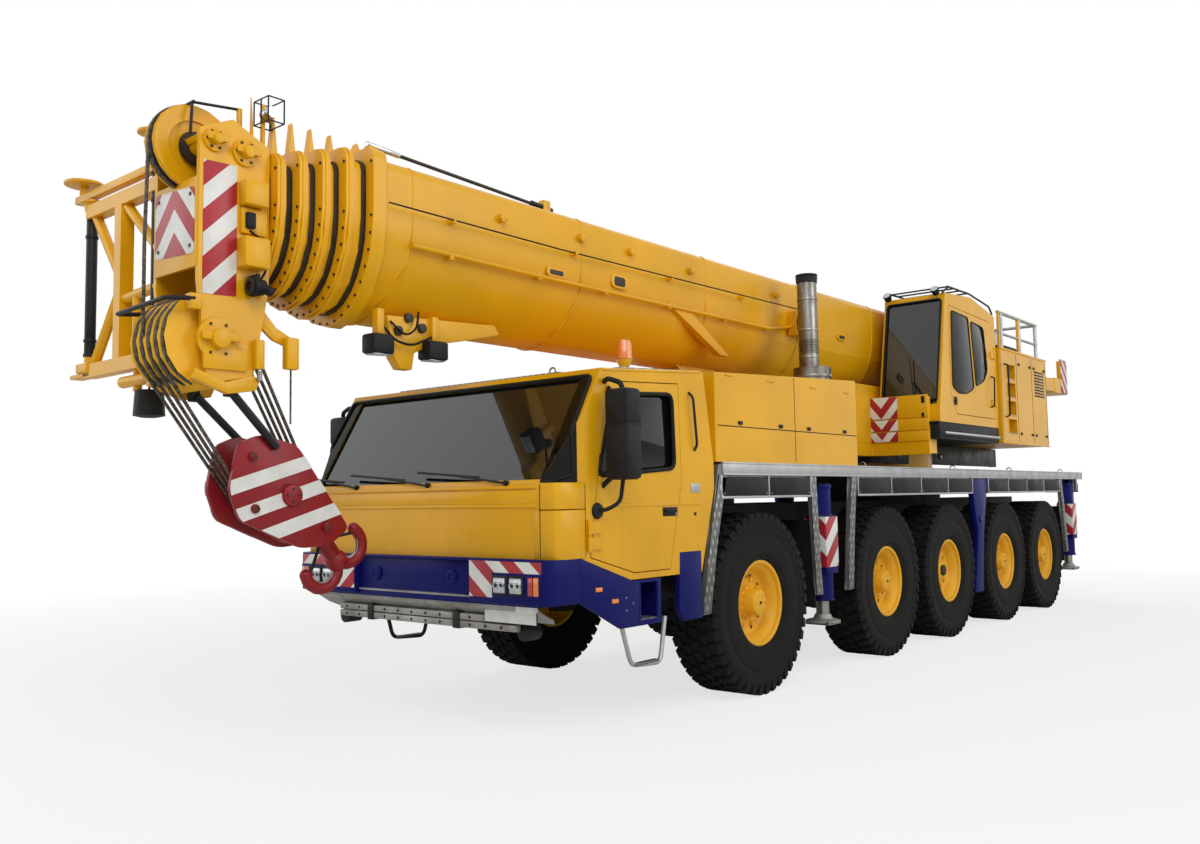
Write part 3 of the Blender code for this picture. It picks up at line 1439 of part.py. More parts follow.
def make_winch():
    inside = PLATE_X - PLATE_THICK - SKIN_GAP
    rim = inside * 0.86
    profile = [
        (-inside, 0),
        (-inside, WINCH_SHAFT),
        (-rim, WINCH_SHAFT),
        (-rim, WINCH_FLANGE),
        (-rim * 0.92, WINCH_FLANGE),
        (-rim * 0.92, WINCH_RADIUS),
        (rim * 0.92, WINCH_RADIUS),
        (rim * 0.92, WINCH_FLANGE),
        (rim, WINCH_FLANGE),
        (rim, WINCH_SHAFT),
        (inside, WINCH_SHAFT),
        (inside, 0),
    ]
    piece("winch_drum", "steel", [turned(profile, (0, WINCH_Y, WINCH_Z))], pivot=(0, WINCH_Y, WINCH_Z))


def collar(index, place, thick):
    """The ring at a section's mouth, with the pointed lug on its top."""
    outer = boom_outline(
        BOOM_HALF_WIDTH - index * SECTION_STEP + COLLAR_RISE,
        BOOM_TOP - index * SECTION_STEP + COLLAR_RISE,
        BOOM_BOTTOM + index * SECTION_STEP - COLLAR_RISE,
    )
    ring = slab(outer, "Y", place - thick / 2, place + thick / 2)
    top = BOOM_TOP - index * SECTION_STEP + COLLAR_RISE / 2
    foot = thick / 2 * 0.9
    outline = [(place - foot, top), (place + foot, top), (place, BOOM_TOP + LUG_HEIGHT)]
    lugs = [
        slab(
            outline,
            "X",
            side * BOOM_HALF_WIDTH * 0.5 - LUG_HALF_WIDTH,
            side * BOOM_HALF_WIDTH * 0.5 + LUG_HALF_WIDTH,
        )
        for _, side in sides()
    ]
    return [ring, *lugs]


def section_cuts(index, front, thick, rear):
    """A section's hollow, with the close mouth in its collar that the next section runs in."""
    mouth = slab(
        section_outline(index, SECTION_STEP - PAD_GAP),
        "Y",
        front - OVERRUN,
        front + thick + OVERRUN,
    )
    hollow = slab(section_outline(index, SECTION_WALL), "Y", front + thick, rear)
    return [mouth, hollow]


def make_boom():
    pivot = (0, PIVOT_Y, PIVOT_Z)
    boss = PLATE_X - PLATE_THICK - SKIN_GAP
    base_front = COLLAR_PLACES[0] - BASE_COLLAR_THICK / 2
    pieces = [
        slab(section_outline(0), "Y", COLLAR_PLACES[0], BOOM_REAR),
        *collar(0, COLLAR_PLACES[0], BASE_COLLAR_THICK),
        bar((-PLATE_X, PIVOT_Y, PIVOT_Z), (PLATE_X, PIVOT_Y, PIVOT_Z), PIVOT_RADIUS),
        bar((-boss, PIVOT_Y, PIVOT_Z), (boss, PIVOT_Y, PIVOT_Z), PIVOT_RADIUS * BOSS_SHARE),
    ]
    rear = EYE_Y + LUFF_LUG_LENGTH * 0.3
    front = EYE_Y - LUFF_LUG_LENGTH
    lug_low = BOOM_BOTTOM - LUFF_LUG_DROP
    for _, side in sides():
        x0 = side * (EYE_HALF_WIDTH + SKIN_GAP)
        x1 = side * (EYE_HALF_WIDTH + SKIN_GAP + LUG_PLATE)
        outline = [
            (front, BOOM_BOTTOM + 0.12),
            (EYE_Y - EYE_RADIUS, lug_low),
            (EYE_Y + EYE_RADIUS, lug_low),
            (rear, BOOM_BOTTOM + 0.12),
        ]
        pieces.append(slab(outline, "X", *sorted((x0, x1))))
    cuts = section_cuts(0, base_front, BASE_COLLAR_THICK, BOOM_REAR - BOOM_END_THICK)
    piece("boom_base", "yellow_paint", pieces, cuts, pivot=pivot)
    for index in range(1, 5):
        place = COLLAR_PLACES[index]
        front = place - COLLAR_THICK / 2
        rear = SECTION_REAR - (index - 1) * SECTION_REAR_STEP
        tube_front = place + COLLAR_THICK / 4
        pieces = [slab(section_outline(index), "Y", tube_front, rear), *collar(index, place, COLLAR_THICK)]
        cuts = section_cuts(index, front, COLLAR_THICK, rear + OVERRUN)
        piece(f"boom_section_{index}", "yellow_paint", pieces, cuts, pivot=pivot)
    make_boom_head(pivot)


def make_boom_head(pivot):
    rear = SECTION_REAR - 4 * SECTION_REAR_STEP
    index = 5
    tube_shape = slab(section_outline(index), "Y", HEAD_REAR, rear)
    outline = [
        (HEAD_REAR, HEAD_PEAK_Z - 0.12),
        (HEAD_REAR - 0.25, HEAD_PEAK_Z),
        (HEAD_FRONT, HEAD_PEAK_Z - 0.10),
        (HEAD_FRONT, 2.95),
        (HEAD_FRONT + 0.06, HEAD_LOW_Z),
        (HEAD_REAR - 0.10, HEAD_LOW_Z + 0.07),
        (HEAD_REAR, 2.94),
    ]
    inside = HEAD_OUT - HEAD_PLATE
    pieces = [tube_shape]
    for _, side in sides():
        pieces.append(slab(outline, "X", *sorted((side * HEAD_OUT, side * inside))))
    back_top = BOOM_TOP - index * SECTION_STEP
    pieces.append(
        block(
            (-inside - HEAD_PLATE / 2, HEAD_REAR - HEAD_PLATE, 2.95),
            (inside + HEAD_PLATE / 2, HEAD_REAR, back_top),
        ),
    )
    pieces.append(
        block(
            (-inside - HEAD_PLATE / 2, HEAD_FRONT, 3.12),
            (inside + HEAD_PLATE / 2, HEAD_FRONT + HEAD_PLATE, 3.45),
        ),
    )
    hollow = slab(section_outline(index, SECTION_WALL), "Y", HEAD_REAR + OVERRUN, rear + OVERRUN)
    piece("boom_head", "yellow_paint", pieces, [hollow], pivot=pivot)
    wide = inside - SKIN_GAP
    half = TOP_SHEAVE_WIDTH / 2
    groove = TOP_SHEAVE_RADIUS - GROOVE_DEPTH
    profile = [
        (-wide, 0),
        (-wide, SHEAVE_PIN_RADIUS),
        (-half, SHEAVE_PIN_RADIUS),
        (-half * 0.5, groove * 0.5),
        (-half, groove * 0.9),
        (-half, TOP_SHEAVE_RADIUS),
        (0, groove),
        (half, TOP_SHEAVE_RADIUS),
        (half, groove * 0.9),
        (half * 0.5, groove * 0.5),
        (half, SHEAVE_PIN_RADIUS),
        (wide, SHEAVE_PIN_RADIUS),
        (wide, 0),
    ]
    centre = (0, TOP_SHEAVE_Y, TOP_SHEAVE_Z)
    piece("head_sheave_top", "yellow_paint", [turned(profile, centre)], pivot=centre)
    profile = sheave_row(LOW_ROW_HALF_WIDTH, LOW_SHEAVE_COUNT, LOW_SHEAVE_RADIUS, SHEAVE_PIN_RADIUS, wide)
    centre = (0, LOW_SHEAVE_Y, LOW_SHEAVE_Z)
    piece("head_sheaves_low", "steel", [turned(profile, centre, steps=SHEAVE_STEPS)], pivot=centre)


def sheave_row(half_width, count, radius, pin, reach):
    """The profile of grooved sheaves side by side, on a pin that reaches past them."""
    pitch = 2 * half_width / count
    profile = [(-reach, 0), (-reach, pin), (-half_width, pin)]
    for i in range(count):
        start = i * pitch - half_width
        profile += [(start, radius), (start + pitch / 2, radius - GROOVE_DEPTH)]
    return profile + [(half_width, radius), (half_width, pin), (reach, pin), (reach, 0)]


def make_luffing_cylinder():
    foot = Vector((0, FOOT_Y, FOOT_Z))
    eye = Vector((0, EYE_Y, EYE_Z))
    way = (eye - foot).normalized()
    across = Vector((EYE_HALF_WIDTH, 0, 0))
    mouth = foot + way * BARREL_LENGTH
    pieces = [
        bar(foot, foot + way * BARREL_NECK * 2, EYE_HALF_WIDTH * 0.9),
        bar(foot + way * BARREL_NECK, mouth, BARREL_RADIUS),
        bar(foot - across, foot + across, EYE_RADIUS),
    ]
    bore = bar(foot + way * BORE_START, mouth + way * OVERRUN, ROD_RADIUS + SKIN_GAP)
    piece("luffing_barrel", "yellow_paint", pieces, [bore], pivot=tuple(foot))
    pieces = [
        bar(eye - way * ROD_LENGTH, eye - way * EYE_RADIUS / 2, ROD_RADIUS),
        bar(eye - across, eye + across, EYE_RADIUS),
    ]
    piece("luffing_rod", "steel", pieces, pivot=tuple(eye))


def make_hook_block():
    axis = Vector((LOW_SHEAVE_Y, LOW_SHEAVE_Z))

    def placed(share):
        return axis + Vector(share) * BLOCK_REACH

    pin = placed(BLOCK_PIN_SHARE)
    out = CHEEK_IN + CHEEK_THICK
    profile = sheave_row(
        BLOCK_ROW_HALF_WIDTH,
        BLOCK_SHEAVE_COUNT,
        BLOCK_SHEAVE_RADIUS,
        BLOCK_PIN_RADIUS,
        out + BLOCK_PIN_PROUD,
    )
    pieces = [turned(profile, (0, *pin), steps=SHEAVE_STEPS)]
    for _, side in sides():
        pieces.append(slab([placed(p) for p in CHEEK_SHARES], "X", *sorted((side * CHEEK_IN, side * out))))
    lap = CHEEK_IN + CHEEK_THICK / 2
    pieces.append(slab([placed(p) for p in CROSSHEAD_SHARES], "X", -lap, lap))
    pieces += double_hook(placed(SHANK_SHARE))
    pieces += rope_falls(axis, pin)
    piece("hook_block", "red_paint", pieces, pivot=(0, *axis))


def double_hook(top):
    """A shank that hangs from a (y, z) point and parts in two horns, tilted back."""
    end_y, end_z = top.x, top.y - HOOK_LENGTH
    pieces = [bar((0, *top), (0, end_y, end_z - HOOK_WIRE), HOOK_SHANK_RADIUS)]
    for side, start, end in ((1, 188, 380), (-1, -14, -200)):
        route = arc((end_y + side * HOOK_RADIUS, end_z), HOOK_RADIUS, start, end, SMALL_SIDES)
        pieces.append(tube([(0, y, z) for y, z in route], HOOK_WIRE))
    return [turned_about(p, HOOK_TILT, (0, *top)) for p in pieces]


def rope_falls(top, low):
    """The ropes between two rows of sheaves: two falls for each sheave of the block."""
    wrap = LOW_SHEAVE_RADIUS + ROPE_RADIUS * math.cos(math.pi / ROPE_SIDES) + SKIN_GAP
    hold = BLOCK_SHEAVE_RADIUS - GROOVE_DEPTH - ROPE_RADIUS / 2
    way = (low - top).normalized()
    across = Vector((-way.y, way.x))
    sine = (wrap - hold) / (low - top).length
    cosine = math.sqrt(1 - sine * sine)
    pitch = 2 * BLOCK_ROW_HALF_WIDTH / BLOCK_SHEAVE_COUNT
    falls = []
    for i in range(BLOCK_SHEAVE_COUNT):
        x = (i + 1 / 2) * pitch - BLOCK_ROW_HALF_WIDTH
        for side in (-1, 1):
            normal = across * side * cosine + way * sine
            lead = x + side * ROPE_RADIUS / 2
            high_end, low_end = top + normal * wrap, low + normal * hold
            falls.append(bar((lead, *high_end), (lead, *low_end), ROPE_RADIUS, ROPE_SIDES))
    return falls


def make_jib_bracket():
    y = BRACKET_Y
    inner = -HEAD_OUT - SKIN_GAP
    mid, out = BRACKET_POST_X, BRACKET_OUT_X
    top, low = BRACKET_TOP, BRACKET_LOW
    pieces = [
        block((mid - BRACKET_TUBE, y - BRACKET_TUBE, low), (mid + BRACKET_TUBE, y + BRACKET_TUBE, top)),
        block((inner, y - BRACKET_TUBE, low), (out, y + BRACKET_TUBE, low + 2 * BRACKET_TUBE)),
        block((inner, y - BRACKET_TUBE, top - 2 * BRACKET_TUBE), (out, y + BRACKET_TUBE, top)),
        bar((out, y, low + BRACKET_TUBE), (out, y, top + BRACKET_TUBE), BRACKET_ROD),
        bar((mid, y, (top + low) / 2), (out + BRACKET_TUBE, y, top - BRACKET_TUBE), BRACKET_ROD, SMALL_SIDES),
        bar((mid, y, (top + low) / 2), (out + BRACKET_TUBE, y, low + BRACKET_TUBE), BRACKET_ROD, SMALL_SIDES),
    ]
    piece("jib_bracket", "yellow_paint", pieces)


def main():
    make_chassis()
    make_axles()
    make_wheels()
    make_outriggers()
    make_deck()
    make_cab()
    make_bumper()
    make_housing()
    make_exhaust()
    make_turntable()
    make_upper_cab()
    make_machinery_box()
    make_winch()
    make_boom()
    make_luffing_cylinder()
    make_hook_block()
    make_jib_bracket()


main()
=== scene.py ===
import json
import math

import bmesh
import bpy
from bpy.props import FloatProperty, FloatVectorProperty, IntProperty, PointerProperty
from mathutils import Matrix, Vector


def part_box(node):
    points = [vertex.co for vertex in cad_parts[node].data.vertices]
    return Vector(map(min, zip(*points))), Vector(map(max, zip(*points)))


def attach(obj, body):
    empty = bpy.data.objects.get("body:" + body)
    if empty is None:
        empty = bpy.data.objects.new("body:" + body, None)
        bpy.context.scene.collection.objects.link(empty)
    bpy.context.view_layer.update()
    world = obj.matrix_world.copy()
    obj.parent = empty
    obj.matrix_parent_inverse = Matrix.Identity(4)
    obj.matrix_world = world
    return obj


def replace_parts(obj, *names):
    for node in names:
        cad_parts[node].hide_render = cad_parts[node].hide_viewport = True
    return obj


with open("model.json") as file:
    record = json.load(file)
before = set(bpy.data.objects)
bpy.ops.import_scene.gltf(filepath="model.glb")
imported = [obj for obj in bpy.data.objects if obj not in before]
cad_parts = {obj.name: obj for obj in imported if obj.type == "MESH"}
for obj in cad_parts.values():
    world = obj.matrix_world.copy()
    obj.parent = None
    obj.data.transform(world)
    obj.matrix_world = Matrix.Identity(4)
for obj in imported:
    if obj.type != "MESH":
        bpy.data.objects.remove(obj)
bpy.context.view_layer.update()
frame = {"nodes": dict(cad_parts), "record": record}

bl_info = {
    "name": "Mobile Crane Dresser",
    "version": (1, 0, 0),
    "blender": (4, 5, 0),
    "location": "View3D > Sidebar > Crane",
    "description": "Dresses a five-axle road crane with its finishes, tyres, lamps, rails and ropes",
    "category": "Object",
}

# Places below are measured like the machine: y from the first axle, z from the ground, +x its left side.
AXLE_LOW, AXLE_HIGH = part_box("axle_1")
FIRST_AXLE_Y = (AXLE_LOW.y + AXLE_HIGH.y) / 2
AXLE_YS = [sum(end.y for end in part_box(f"axle_{n}")) / 2 - FIRST_AXLE_Y for n in range(1, 6)]
TYRE_WIDTH = 0.445
TYRE_RADIUS = 0.745
HALF_WIDTH = 1.375
SIDES = (("left", 1), ("right", -1))
COLLECTION = bpy.data.collections.new("mobile_crane_looks")
bpy.context.scene.collection.children.link(COLLECTION)


def colour(text, alpha=1.0):
    """An sRGB hex value as Blender's linear colour."""
    parts = [int(text[i : i + 2], 16) / 255 for i in (1, 3, 5)]
    return (*[c / 12.92 if c <= 0.04045 else ((c + 0.055) / 1.055) ** 2.4 for c in parts], alpha)


def chosen(paint):
    """A paint by its hex value, or by the name of the one that the panel offers."""
    return colour(paint) if paint.startswith("#") else tuple(getattr(bpy.context.scene.crane_sizes, paint))


def add(tree, kind, settings=None, links=None):
    """Adds a node, with its settings by property or socket, and links its sockets from outputs."""
    made = tree.nodes.new("ShaderNode" + kind)
    for key, value in (settings or {}).items():
        if key == "stops":
            for element, (place, shade) in zip(made.color_ramp.elements, value):
                element.position = place
                element.color = shade
        elif isinstance(key, int) or key in made.inputs:
            made.inputs[key].default_value = value
        else:
            setattr(made, key, value)
    for key, output in (links or {}).items():
        tree.links.new(output, made.inputs[key])
    return made


def blank(name, values=None):
    """A new material, its tree and its shader with its uniform values."""
    made = bpy.data.materials.new(name)
    made.use_nodes = True
    shader = made.node_tree.nodes["Principled BSDF"]
    for key, value in (values or {}).items():
        shader.inputs[key].default_value = value
    return made, made.node_tree, shader


def coordinates(tree):
    """The piece's own coordinates."""
    return add(tree, "TexCoord").outputs["Object"]


def noise(tree, spot, scale, detail):
    """A cloudy pattern."""
    return add(tree, "TexNoise", {"Scale": scale, "Detail": detail}, {"Vector": spot}).outputs["Fac"]


def spread(tree, value, start, end, first, last):
    """A value that runs from first to last while another runs from start to end."""
    settings = {"From Min": start, "From Max": end, "To Min": first, "To Max": last}
    return add(tree, "MapRange", settings, {"Value": value}).outputs["Result"]


def calculate(tree, operation, links, settings=None):
    """The result of one sum on values."""
    return add(tree, "Math", {"operation": operation, **(settings or {})}, links).outputs["Value"]


def weathered(tree, shader, colours, factor, value):
    """A mix of two colours, lighter or darker by a value, as the shader's base colour."""
    base = add(tree, "Mix", {"data_type": "RGBA", "A": colours[0], "B": colours[1]}, {"Factor": factor})
    tone = add(tree, "HueSaturation", {}, {"Color": base.outputs["Result"], "Value": value})
    tree.links.new(tone.outputs["Color"], shader.inputs["Base Color"])


def bump(tree, shader, height, distance, strength):
    """Fine relief from a pattern."""
    made = add(tree, "Bump", {"Distance": distance, "Strength": strength}, {"Height": height})
    tree.links.new(made.outputs["Normal"], shader.inputs["Normal"])


def enamel(name, shade, dusty, rough=0.32, gloss=0.34):
    """Sprayed alkyd enamel on steel: a clear gloss over slightly uneven colour, with road dust low down."""
    finish = {"Specular IOR Level": gloss, "Coat Weight": gloss * 0.2, "Coat Roughness": 0.12}
    made, tree, shader = blank(name, finish)
    spot = coordinates(tree)
    drawn_out = add(tree, "Mapping", {"Scale": (9.0, 9.0, 0.9)}, {"Vector": spot}).outputs["Vector"]
    height = add(tree, "SeparateXYZ", {}, {0: spot}).outputs["Z"]
    low_down = spread(tree, height, 0.55, 1.9, 0.32, 0.04)
    dirt = calculate(tree, "MULTIPLY", {0: noise(tree, drawn_out, 2.2, 7.0), 1: low_down})
    fade = spread(tree, noise(tree, spot, 1.6, 5.0), 0.3, 0.7, 0.9, 1.05)
    weathered(tree, shader, (chosen(shade), colour(dusty)), dirt, fade)
    tree.links.new(spread(tree, dirt, 0.0, 0.5, rough, rough + 0.35), shader.inputs["Roughness"])
    bump(tree, shader, noise(tree, spot, 120.0, 2.0), 0.0006, 0.25)
    return made


def satin(name, shade, other, rough, metal, grain, depth, patch=6.0):
    """A matt or satin surface whose colour wanders between two tones, with a fine grain."""
    made, tree, shader = blank(name, {"Metallic": metal, "Specular IOR Level": 0.5 if metal else 0.18})
    spot = coordinates(tree)
    tone = noise(tree, spot, patch, 8.0)
    ramp = add(tree, "ValToRGB", {"stops": [(0.35, colour(shade)), (0.68, colour(other))]}, {"Fac": tone})
    tree.links.new(ramp.outputs["Color"], shader.inputs["Base Color"])
    tree.links.new(spread(tree, tone, 0.3, 0.7, rough - 0.08, rough + 0.1), shader.inputs["Roughness"])
    bump(tree, shader, noise(tree, spot, grain, 3.0), depth, 0.5)
    return made


def tread_plate(name, shade, other, across):
    """Rolled aluminium tread plate: raised bars in two directions, brighter where feet polish them.

    across names the two axes that the sheet lies in; the pitch is drawn at 45 mm so that it shows."""
    pitch = 0.045
    made, tree, shader = blank(name, {"Metallic": 0.7, "Roughness": 0.42})
    spot = coordinates(tree)
    split = add(tree, "SeparateXYZ", {}, {0: spot}).outputs
    sheet = add(tree, "CombineXYZ", {}, {"X": split[across[0]], "Y": split[across[1]]}).outputs["Vector"]
    bars = {}
    for number, lean in enumerate((45, -45)):
        slant = {"Rotation": (0, 0, math.radians(lean)), "Scale": (1 / pitch, 0.45 / pitch, 1)}
        turned = add(tree, "Mapping", slant, {"Vector": sheet}).outputs["Vector"]
        grid = {"Scale": 1.0, "Randomness": 0.0, "voronoi_dimensions": "2D"}
        bars[number] = add(tree, "TexVoronoi", grid, {"Vector": turned}).outputs["Distance"]
    raised = spread(tree, calculate(tree, "MINIMUM", bars), 0.16, 0.26, 1.0, 0.0)
    grime = spread(tree, noise(tree, spot, 3.0, 8.0), 0.3, 0.7, 0.75, 1.1)
    weathered(tree, shader, (colour(other), colour(shade)), raised, grime)
    bump(tree, shader, raised, 0.003, 0.8)
    return made


def striped(name, weights, pitch, shift=0.0, middle=None):
    """Retroreflective film in crimson and white bars: the weights of x, y and z say how the bars slant.

    With a middle, x counts from there both ways, so that the bars meet in arrows."""
    made, tree, shader = blank(name, {"Roughness": 0.38})
    spot = place = coordinates(tree)
    if middle is not None:
        shifted = {"operation": "SUBTRACT", 1: (middle, 0, 0)}
        offset = add(tree, "VectorMath", shifted, {0: spot}).outputs["Vector"]
        split = add(tree, "SeparateXYZ", {}, {0: offset}).outputs
        links = {"X": calculate(tree, "ABSOLUTE", {0: split["X"]}), "Y": split["Y"], "Z": split["Z"]}
        spot = add(tree, "CombineXYZ", {}, links).outputs["Vector"]
    along = add(tree, "VectorMath", {"operation": "DOT_PRODUCT", 1: weights}, {0: spot}).outputs["Value"]
    count = calculate(tree, "MULTIPLY_ADD", {0: along}, {1: 1 / pitch, 2: shift})
    white = calculate(tree, "GREATER_THAN", {0: calculate(tree, "FRACT", {0: count})}, {1: 0.5})
    grime = spread(tree, noise(tree, place, 5.0, 6.0), 0.3, 0.75, 0.78, 1.03)
    weathered(tree, shader, (colour("#B0202C"), colour("#EDEDE8")), white, grime)
    return made


def glazing(name, shade, clear, rough=0.03, coat=0.6, gloss=0.5):
    """Tinted safety glass: dark, with a hard gloss."""
    glass = {"Base Color": colour(shade), "Roughness": rough, "Transmission Weight": clear, "IOR": 1.5}
    polish = {"Specular IOR Level": gloss, "Coat Weight": coat, "Coat Roughness": 0.02}
    return blank(name, glass | polish)[0]


def lamp_lens(name, shade, rough=0.15, silvered=0.0):
    """Moulded acrylic lens with flutes 8 mm apart."""
    values = {"Base Color": colour(shade), "Metallic": silvered, "Roughness": rough, "Coat Weight": 1.0}
    made, tree, shader = blank(name, values)
    flutes = {"Scale": 40.0, "wave_type": "BANDS", "bands_direction": "X"}
    wave = add(tree, "TexWave", flutes, {"Vector": coordinates(tree)})
    bump(tree, shader, wave.outputs["Fac"], 0.002, 0.5)
    return made


FINISHES = {}
FINISH_MAKERS = {
    # finish: (the record's slot, the material's maker, what the maker is given)
    "yellow": ("yellow_paint", enamel, "enamel_crane_yellow", "crane_yellow", "#7A5A28"),
    "blue": ("blue_paint", enamel, "enamel_navy", "chassis_navy", "#1E1D28", 0.32, 0.1),
    "red": ("red_paint", enamel, "enamel_block_red", "block_red", "#4A2A26", 0.4),
    "black": ("frame_paint", satin, "paint_black_satin", "#1B1C1E", "#2C2C2C", 0.45, 0.0, 90.0, 0.0006),
    "frame": ("frame_paint", satin, "paint_chassis_grey", "#26282B", "#45423D", 0.6, 0.0, 60.0, 0.001),
    "skirt": ("frame_paint", satin, "paint_charcoal", "#101214", "#1A1C1D", 0.5, 0.0, 60.0, 0.0006),
    "plastic": ("cab_trim", satin, "plastic_moulded_black", "#151617", "#222324", 0.5, 0.0, 300.0, 0.0006),
    "trim": ("cab_trim", satin, "cloth_and_vinyl_grey", "#3A3C40", "#55575A", 0.8, 0.0, 400.0, 0.001),
    "rubber": ("tyre", satin, "rubber_tyre", "#0D0D0D", "#1D1C1A", 0.82, 0.0, 130.0, 0.0015),
    "seal": ("cab_trim", satin, "rubber_seal", "#101010", "#1B1B1B", 0.6, 0.0, 200.0, 0.0004),
    "alu": ("aluminium", satin, "aluminium_extruded", "#B5B6B5", "#A3A5A5", 0.42, 0.65, 200.0, 0.0005),
    "deck_plate": ("aluminium", tread_plate, "aluminium_tread_deck", "#B9BBBA", "#8A8C8B", "XY"),
    "side_plate": ("aluminium", tread_plate, "aluminium_tread_side", "#B4B5B2", "#6E6F6C", "YZ"),
    "front_plate": ("aluminium", tread_plate, "aluminium_tread_front", "#B4B6B5", "#7E807F", "XZ"),
    "steel": ("steel", satin, "steel_machined", "#9A9894", "#7C7974", 0.35, 0.9, 200.0, 0.0005),
    "chrome": ("steel", satin, "steel_hard_chromed", "#D5D6D8", "#BFC1C4", 0.15, 1.0, 200.0, 0.0002),
    "stainless": ("steel", satin, "steel_stainless_stack", "#8E8C88", "#6B655E", 0.28, 0.95, 90.0, 0.0006),
    "dark_steel": ("steel", satin, "steel_greased", "#2B2A28", "#463F37", 0.5, 0.6, 160.0, 0.0015),
    "rope": ("steel", satin, "rope_greased_wire", "#26231F", "#6E665A", 0.5, 0.5, 300.0, 0.002, 55.0),
    "white": ("yellow_paint", satin, "paint_white", "#E6E6E2", "#D2D2CE", 0.4, 0.0, 100.0, 0.0004),
    "tinted": ("glass", glazing, "glass_tinted", "#1B2221", 0.5),
    "dark_glass": ("glass", glazing, "glass_dark_tint", "#0D1010", 0.35, 0.03, 0.0, 0.25),
    "mirror": ("glass", satin, "glass_silvered", "#C8CCD0", "#B8BCC0", 0.05, 1.0, 10.0, 0.0),
    "lamp": ("glass", lamp_lens, "lens_clear", "#B9BFC3", 0.08, 0.7),
    "amber": ("glass", lamp_lens, "lens_amber", "#F0801A"),
    "wheel_yellow": ("yellow_paint", enamel, "enamel_rim_yellow", "#F4B71E", "#8A6A30", 0.45),
    "galvanised": ("steel", satin, "steel_zinc_coated", "#A5A49E", "#7F7D76", 0.55, 0.35, 60.0, 0.0008),
    "lamp_stripes": ("red_paint", striped, "film_board_lamps", (0.8, 0.0, 1.0), 0.22, 0.05, 0.0),
    "side_stripes": ("red_paint", striped, "film_board_head_side", (0.0, -1.0, 1.0), 0.28, 0.036),
    "front_stripes": ("red_paint", striped, "film_board_head_front", (1.05, 0.0, 1.0), 0.28, 0.843, 0.0),
    "cover_stripes": ("red_paint", striped, "film_board_cover", (-1.2, 0.0, 1.0), 0.25, 0.0, 0.66),
    "tail_stripes": ("red_paint", striped, "film_board_tail", (1.0, 0.0, 1.0), 0.2),
    "tail_stripes_side": ("red_paint", striped, "film_board_tail_side", (0.0, 1.0, 1.0), 0.2),
    "jack_stripes": ("red_paint", striped, "film_board_jack", (1.0, -1.0, 1.0), 0.29, 0.35, 0.0),
    "frit": ("glass", satin, "glass_black_border", "#0A0B0B", "#111313", 0.1, 0.0, 40.0, 0.0),
    "red_lens": ("glass", lamp_lens, "lens_red", "#B01218"),
}


def finish_of(name):
    """The finish's material, made when it is first asked for."""
    if name not in FINISHES:
        _, maker, *given = FINISH_MAKERS[name]
        FINISHES[name] = maker(*given)
    return FINISHES[name]


def merge(target, shape):
    """Moves a shape into another and frees it."""
    kept = bpy.data.meshes.new("part")
    shape.to_mesh(kept)
    shape.free()
    target.from_mesh(kept)
    bpy.data.meshes.remove(kept)


def thicken(shape, way):
    """Gives a flat shape its thickness."""
    up = bmesh.ops.extrude_face_region(shape, geom=shape.faces[:])
    moved = [v for v in up["geom"] if isinstance(v, bmesh.types.BMVert)]
    bmesh.ops.translate(shape, vec=way, verts=moved)


def facing(centre, way):
    """The place of a form made along z, set on a centre with z along the way."""
    return Matrix.Translation(centre) @ Vector(way).to_track_quat("Z", "Y").to_matrix().to_4x4()


